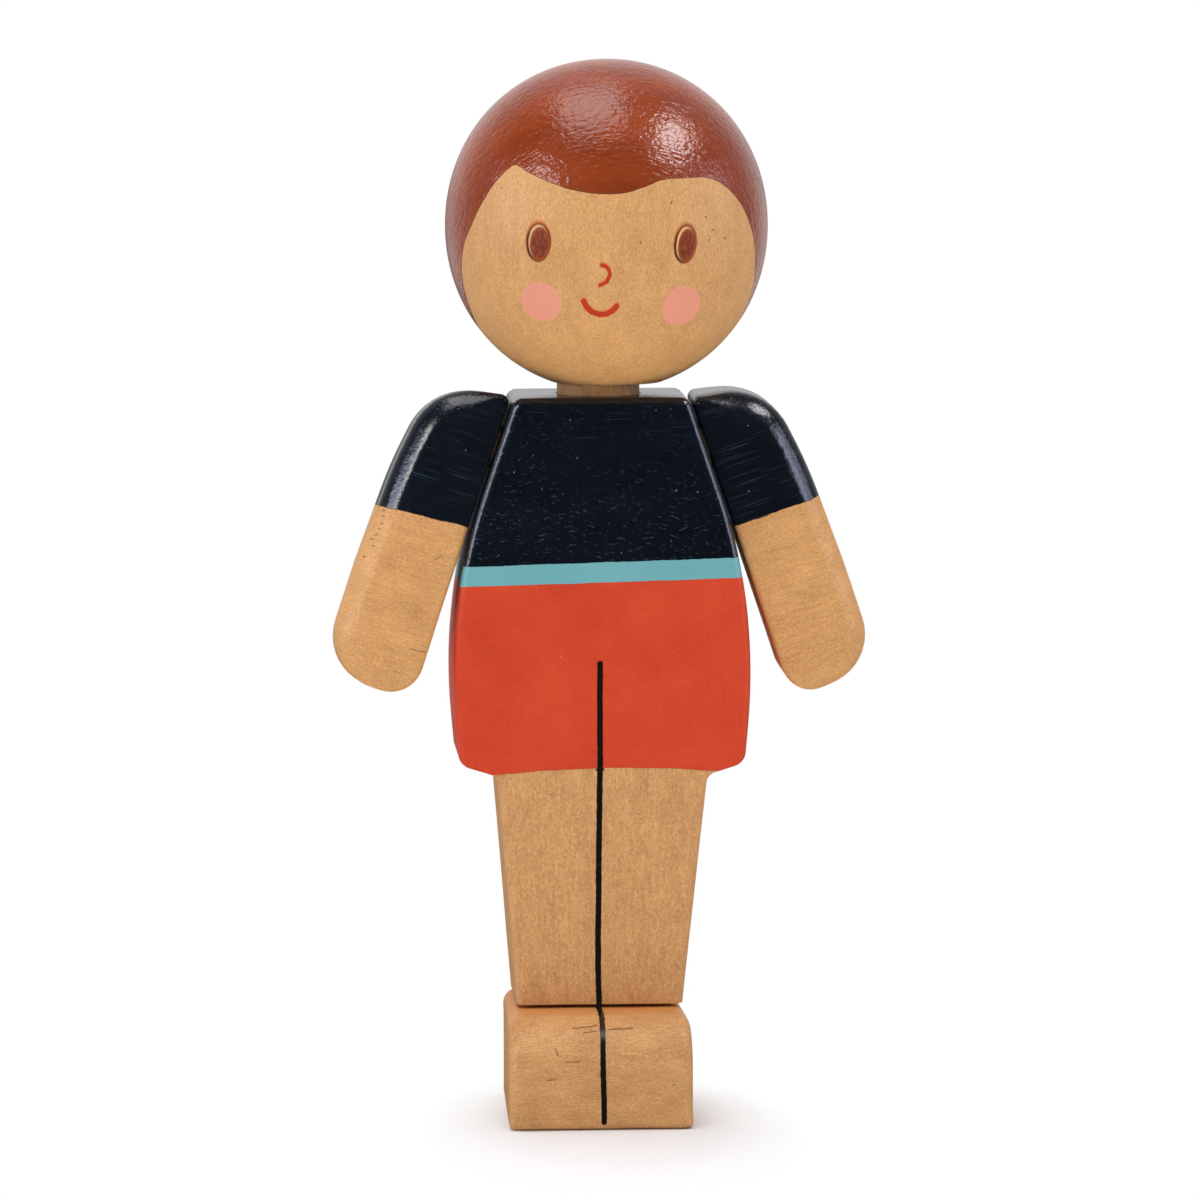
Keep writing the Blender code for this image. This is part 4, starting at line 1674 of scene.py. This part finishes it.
        # A soft even skin with thin flat inks, under glossy ridged hair
        name = "Beech, turned and stained, printed, with enamelled hair"
        material, sheet, place = start_material(name)
        wood = StainedBeech(
            light="#e0ab70",
            dark="#bd8a54",
            fibres=Run.UPRIGHT,
            fibre_length=0.8,
            mottling=0.45,
            dash_length=0.2,
            dash_width=0.16,
            dash_share=0.22,
        )
        bare = wood.lay(sheet, place)
        skin = bare
        front = sheet.from_front(sheet.shaken(place, 0.5, 0.025))
        for pore in self.pores:
            hole = sheet.spot(front, pore, (0.1, 0.12), (0.5, 1.1), strength=0.85)
            skin = skin.inked(sheet, FACE_PORE, hole)
        for centre, half, tilt in self.cheeks:
            rouge = sheet.spot(front, centre, half, (0.985, 1.03), tilt, 0.97)
            skin = skin.inked(sheet, ROUGE, rouge)
        for eye in self.eyes:
            skin = self.print_eye(sheet, front, skin, eye)
        raised = {0: front, 1: (-0.03 * MM, 0.0, 0.14 * MM)}
        lifted = sheet.add("VectorMath", raised, operation="SUBTRACT")
        strokes = ((self.nose, 0.36, NOSE_RED), (self.mouth, 0.54, MOUTH_RED))
        for points, width, code in strokes:
            fringe = sheet.within(sheet.stroke(lifted, points), width * MM / 2, 0.1)
            skin = skin.inked(sheet, STROKE_FRINGE, fringe, 0.85)
            drawn = sheet.within(sheet.stroke(front, points), width * MM / 2, 0.07)
            skin = skin.inked(sheet, code, drawn)

        mask, brushed = self.part_hair(sheet, sheet.shaken(place, 1.2, 0.03))
        hair = CHESTNUT.lay(sheet, brushed, bare)
        layer = skin.under(sheet, hair, mask)
        # The enamel is thin and dark along its edge, where this product rises to a quarter
        inverse = sheet.add("Math", {0: 1.0, 1: mask}, operation="SUBTRACT")
        rim = sheet.add("Math", {0: mask, 1: inverse}, operation="MULTIPLY")
        close_material(sheet, layer.inked(sheet, HAIR_EDGE, rim, 3.2))
        return material


@dataclass(frozen=True)
class PhotoCamera:
    """The camera that took the photograph, in millimetres and degrees."""

    distance: float = 700.0
    height: float = 124.0
    aside: float = 3.5
    aim: tuple[float, float, float] = (0.145, 0.0, 47.585)
    lens: float = 226.456
    roll: float = -0.1

    def place(self) -> None:
        """Set up the camera and make it the scene's."""
        turn = math.radians(self.aside)
        away = (-self.distance * math.sin(turn), -self.distance * math.cos(turn))
        spot = Vector((*away, self.height))
        ahead = (Vector(self.aim) - spot).normalized()
        right = ahead.cross(Vector((0, 0, 1))).normalized()
        above = right.cross(ahead)
        roll = math.radians(self.roll)
        rolled = right * math.cos(roll) + above * math.sin(roll)
        upward = above * math.cos(roll) - right * math.sin(roll)
        lens = bpy.data.cameras.new("photo_camera")
        lens.lens = self.lens
        lens.sensor_width = 36.0
        lens.clip_start = 0.01
        camera = linked("photo_camera", lens)
        axes = Matrix((rolled, upward, -ahead)).transposed()
        camera.matrix_world = Matrix.Translation(spot * MM) @ axes.to_4x4()
        bpy.context.scene.camera = camera


@dataclass(frozen=True)
class SoftBox:
    """A soft rectangular lamp that points at the figure, in metres and watts."""

    name: str
    spot: tuple[float, float, float]
    size: tuple[float, float]
    power: float
    duty: Duty = Duty.BOTH
    colour: str = "#ffffff"
    aim: tuple[float, float, float] = (0.0, 0.0, 0.05)

    def hang(self) -> None:
        """Set up the lamp."""
        lamp = bpy.data.lights.new(self.name, "AREA")
        lamp.shape = "RECTANGLE"
        lamp.size, lamp.size_y = self.size
        lamp.energy = self.power
        lamp.color = linear(self.colour)[:3]
        box = linked(self.name, lamp)
        box.location = self.spot
        box.visible_diffuse, box.visible_glossy = self.duty.value
        toward = Vector(self.aim) - Vector(self.spot)
        box.rotation_euler = toward.to_track_quat("-Z", "Y").to_euler()


@dataclass
class Studio:
    """A white table and surround, with soft lamps above, in front and at both sides."""

    table_radius: float = 0.26
    # How far the table lies under the sole, in millimetres, so that the two don't coincide
    table_gap: float = 0.02
    # The oval on the table in which the figure's shadow shows, in millimetres
    shadow_middle: tuple[float, float, float] = (0.3, -16.0, 0.0)
    shadow_reach: tuple[float, float, float] = (17.5, 34.0, 1.0)
    # The levels of the room's even light: from the back, from the front and from below
    back_level: float = 0.36
    front_level: float = 0.2
    low_level: float = 0.8
    table_glow: float = 0.4
    # How far from the figure that glow starts and is full, in millimetres
    glow_start: float = 40.0
    glow_full: float = 160.0
    # Where the shadow starts to fade, as a share of its oval
    shadow_core: float = 0.45
    # The white card's two shades, and the card as it shows round the shadow
    card_shade: str = "#f0f0f0"
    card_tone: str = "#f6f6f6"
    card_shown: str = "#ebedf2"
    # The level of the table and of the dark side of the room in the figure's gloss
    gloss_level: float = 0.06
    lamps: tuple[SoftBox, ...] = (
        SoftBox("overhead_box", (-0.07, 0.0, 0.6), (0.4, 0.3), 1.4),
        SoftBox("ceiling_fill", (0.0, 0.0, 0.6), (0.8, 0.8), 2.25, Duty.FILL, "#fff3e6"),
        SoftBox("left_fill", (-0.6, 0.15, 0.2), (0.4, 0.4), 0.6, Duty.FILL),
        SoftBox("right_fill", (0.6, 0.1, 0.3), (0.4, 0.4), 0.4, Duty.FILL),
        SoftBox("front_fill", (-0.06, -0.5, 0.28), (0.8, 0.5), 0.3, Duty.FILL),
        SoftBox("near_fill", (-0.01, -0.16, 0.13), (0.2, 0.12), 0.075, Duty.FILL),
        SoftBox("right_high_sheen", (0.374, -0.1, 0.54), (0.26, 0.18), 2.0, Duty.SHEEN),
        SoftBox("right_sheen", (0.6, 0.0, 0.2), (0.1, 0.3), 0.4, Duty.SHEEN, "#dfe3ff"),
        SoftBox("left_front_sheen", (-0.5, -0.35, 0.36), (0.14, 0.22), 1.3, Duty.SHEEN),
        SoftBox("left_low_sheen", (-0.56, -0.15, 0.18), (0.24, 0.26), 1.6, Duty.SHEEN, "#dfe3ff"),
        SoftBox("right_low_sheen", (0.55, -0.2, 0.17), (0.2, 0.26), 1.1, Duty.SHEEN, "#dfe3ff"),
    )

    def seen_ray(self, sheet: NodeSheet) -> Wire:
        """Tell the rays that see the white surround: straight from the camera or by glass."""
        camera = sheet.add("LightPath", out="Is Camera Ray")
        glass = camera.node.outputs["Is Transmission Ray"]
        return sheet.add("Math", {0: camera, 1: glass}, operation="MAXIMUM")

    def lay_table(self) -> None:
        """Lay the white table, which keeps the figure's shadow and fades into the surround."""
        bm = bmesh.new()
        bmesh.ops.create_circle(bm, cap_ends=True, segments=96, radius=self.table_radius)
        table = settled("white_table", bm)
        table.location.z = -self.table_gap * MM

        # A clean matt white, which only the figure's soft shadow marks
        material, sheet, place = start_material("White card, matt")
        near = {
            "Vector": place,
            "Location": tuple(c * MM for c in self.shadow_middle),
            "Scale": tuple(c * MM for c in self.shadow_reach),
        }
        offset = sheet.add("Mapping", near, vector_type="TEXTURE")
        away = sheet.add("VectorMath", {0: offset}, "Value", operation="LENGTH")
        grain = sheet.cloud(place, 1.0, 1.0, Run.EVEN, 2.0)
        tones = {0: grain, 6: linear(self.card_shade), 7: linear(self.card_tone)}
        tone = sheet.add("Mix", tones, 2, data_type="RGBA")
        card = sheet.add("BsdfDiffuse", {"Color": tone})
        # The table's far parts get the room's light, and the figure's foot stands in less of it
        reach = sheet.add("VectorMath", {0: place}, "Value", operation="LENGTH")
        start = self.glow_start * MM
        full = self.glow_full * MM
        lit = sheet.add("MapRange", {0: reach, 1: start, 2: full, 3: 0.0, 4: self.table_glow})
        glow = sheet.add("Emission", {"Color": linear("#ffffff"), "Strength": lit})
        card = sheet.add("AddShader", {0: card, 1: glow})
        bright = sheet.add("BsdfDiffuse", {"Color": linear(self.card_shown)})
        white = sheet.add("Emission", {"Color": linear("#ffffff"), "Strength": 1.0})
        faded = sheet.add("MapRange", {0: away, 1: self.shadow_core, 2: 1.0, 3: 0.0, 4: 1.0})
        shown = sheet.add("MixShader", {0: faded, 1: bright, 2: white})
        both = sheet.add("MixShader", {0: self.seen_ray(sheet), 1: card, 2: shown})
        # The paint's gloss meets a dim table, as it did in the photograph's dark room
        dim = sheet.add("Emission", {"Color": linear("#ffffff"), "Strength": self.gloss_level})
        gloss = sheet.add("LightPath", out="Is Glossy Ray")
        both = sheet.add("MixShader", {0: gloss, 1: both, 2: dim})
        sheet.add("OutputMaterial", {"Surface": both})
        # Sampled as a lamp, it would show its lit side to the gloss too
        material.cycles.emission_sampling = "NONE"
        wear(table, material)

    def surround(self) -> None:
        """Make the white surround that the camera sees and that gives the soft light."""
        world = bpy.data.worlds.new("white_surround")
        world.use_nodes = True
        bpy.context.scene.world = world
        sheet = NodeSheet(world.node_tree)
        way = sheet.add("TexCoord", out="Generated")
        y = sheet.add("SeparateXYZ", {0: way}, "Y")
        z = y.node.outputs["Z"]
        # Gloss sees the bright card behind the figure and the dark room before it and low down
        behind = sheet.add("MapRange", {0: y, 1: 0.2, 2: 0.9, 3: self.gloss_level, 4: 0.95})
        aside = sheet.add("Math", {0: y.node.outputs["X"]}, operation="ABSOLUTE")
        wide = sheet.add("MapRange", {0: aside, 1: 0.15, 2: 0.4, 3: 0.0, 4: 1.0})
        above = sheet.add("MapRange", {0: z, 1: -0.03, 2: 0.05, 3: 0.0, 4: 1.0})
        shown = sheet.add("Math", {0: wide, 1: above}, operation="MAXIMUM")
        dimmed = sheet.add("Mix", {0: shown, 2: 0.15, 3: 1.0}, data_type="FLOAT")
        gloss = sheet.add("Math", {0: behind, 1: dimmed}, operation="MULTIPLY")
        # The rest sees soft light, stronger from the back, and the white table's from below
        turned = {0: y, 1: 0.3, 2: -0.6, 3: self.back_level, 4: self.front_level}
        front = sheet.add("MapRange", turned)
        low = sheet.add("MapRange", {0: z, 1: 0.02, 2: -0.05, 3: 0.0, 4: 1.0})
        soft = sheet.add("Mix", {0: low, 2: front, 3: self.low_level}, data_type="FLOAT")
        mirrored = sheet.add("LightPath", out="Is Glossy Ray")
        level = sheet.add("Mix", {0: mirrored, 2: soft, 3: gloss}, data_type="FLOAT")
        seen = self.seen_ray(sheet)
        level = sheet.add("Mix", {0: seen, 2: level, 3: 1.0}, data_type="FLOAT")
        sky = sheet.add("Background", {"Color": linear("#ffffff"), "Strength": level})
        sheet.add("OutputWorld", {"Surface": sky})
        world.cycles.sampling_method = "NONE"

    def set_up(self) -> None:
        """Lay the table, light the figure and set the plain view."""
        self.lay_table()
        self.surround()
        for lamp in self.lamps:
            lamp.hang()
        bpy.context.scene.view_settings.view_transform = "Standard"


@dataclass
class Dowels:
    """The neck and the hidden pins, which keep the frame's own shapes."""

    neck: str = "neck_dowel"
    hidden: tuple[str, ...] = (
        "left_shoulder_pin",
        "right_shoulder_pin",
        "left_foot_dowel",
        "right_foot_dowel",
    )

    def dress(self, nodes: dict[str, bpy.types.Object]) -> None:
        """Give each dowel its wood.

        Args:
            nodes: The frame's nodes by name.
        """
        # The neck is in the head's shade: plain stained wood with upright fibres
        material, sheet, place = start_material("Beech dowel, turned and stained")
        wood = StainedBeech(fibres=Run.UPRIGHT, dash_share=0.1)
        close_material(sheet, wood.lay(sheet, place))
        wear(nodes[self.neck], material)
        log.info("%s: stained", self.neck)
        bare = BareDowel().material()
        for name in self.hidden:
            wear(nodes[name], bare)
            log.info("%s: left bare", name)


def clear_scene() -> None:
    """Remove what the file opened with."""
    for old in list(bpy.data.objects):
        bpy.data.objects.remove(old)


def main() -> None:
    """Load the frame and build, dress and light the figure on it."""
    clear_scene()
    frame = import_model()

    PhotoCamera().place()
    Studio().set_up()
    Dowels().dress(frame["nodes"])
    pieces = (
        BodyBlock("body_block", "figure", "painted_body"),
        FeetBlock("feet_block", "figure", "stained_wood", seed=11.0),
        Head("head_ball", "head", "painted_head", sanding=0.03, seed=23.0),
        Arm(
            "right_arm",
            "right_arm",
            "painted_arm",
            side=Side.RIGHT,
            swing=5.0,
            sleeve=(-7.84, -0.075),
            pores=(
                (-7.6, -8.75),
                (-7.5, -9.3),
                (-7.42, -9.94),
                (-7.49, -10.5),
                (-7.6, -11.11),
                (-7.86, -11.63),
                (-7.56, -12.2),
                (-8.0, -13.4),
            ),
            cracks=(
                ((-1.81, -11.66), (-1.43, -11.29), (-1.23, -11.16)),
                ((-1.43, -20.18), (-0.76, -20.16), (0.1, -20.01)),
            ),
            seed=37.0,
        ),
        Arm("left_arm", "left_arm", "painted_arm", side=Side.LEFT, swing=-1.0, seed=51.0),
    )
    for piece in pieces:
        piece.hang(piece.build(), piece.dress())


if __name__ == "__main__":
    logging.basicConfig(level=logging.INFO, format="%(name)s: %(message)s")
    main()
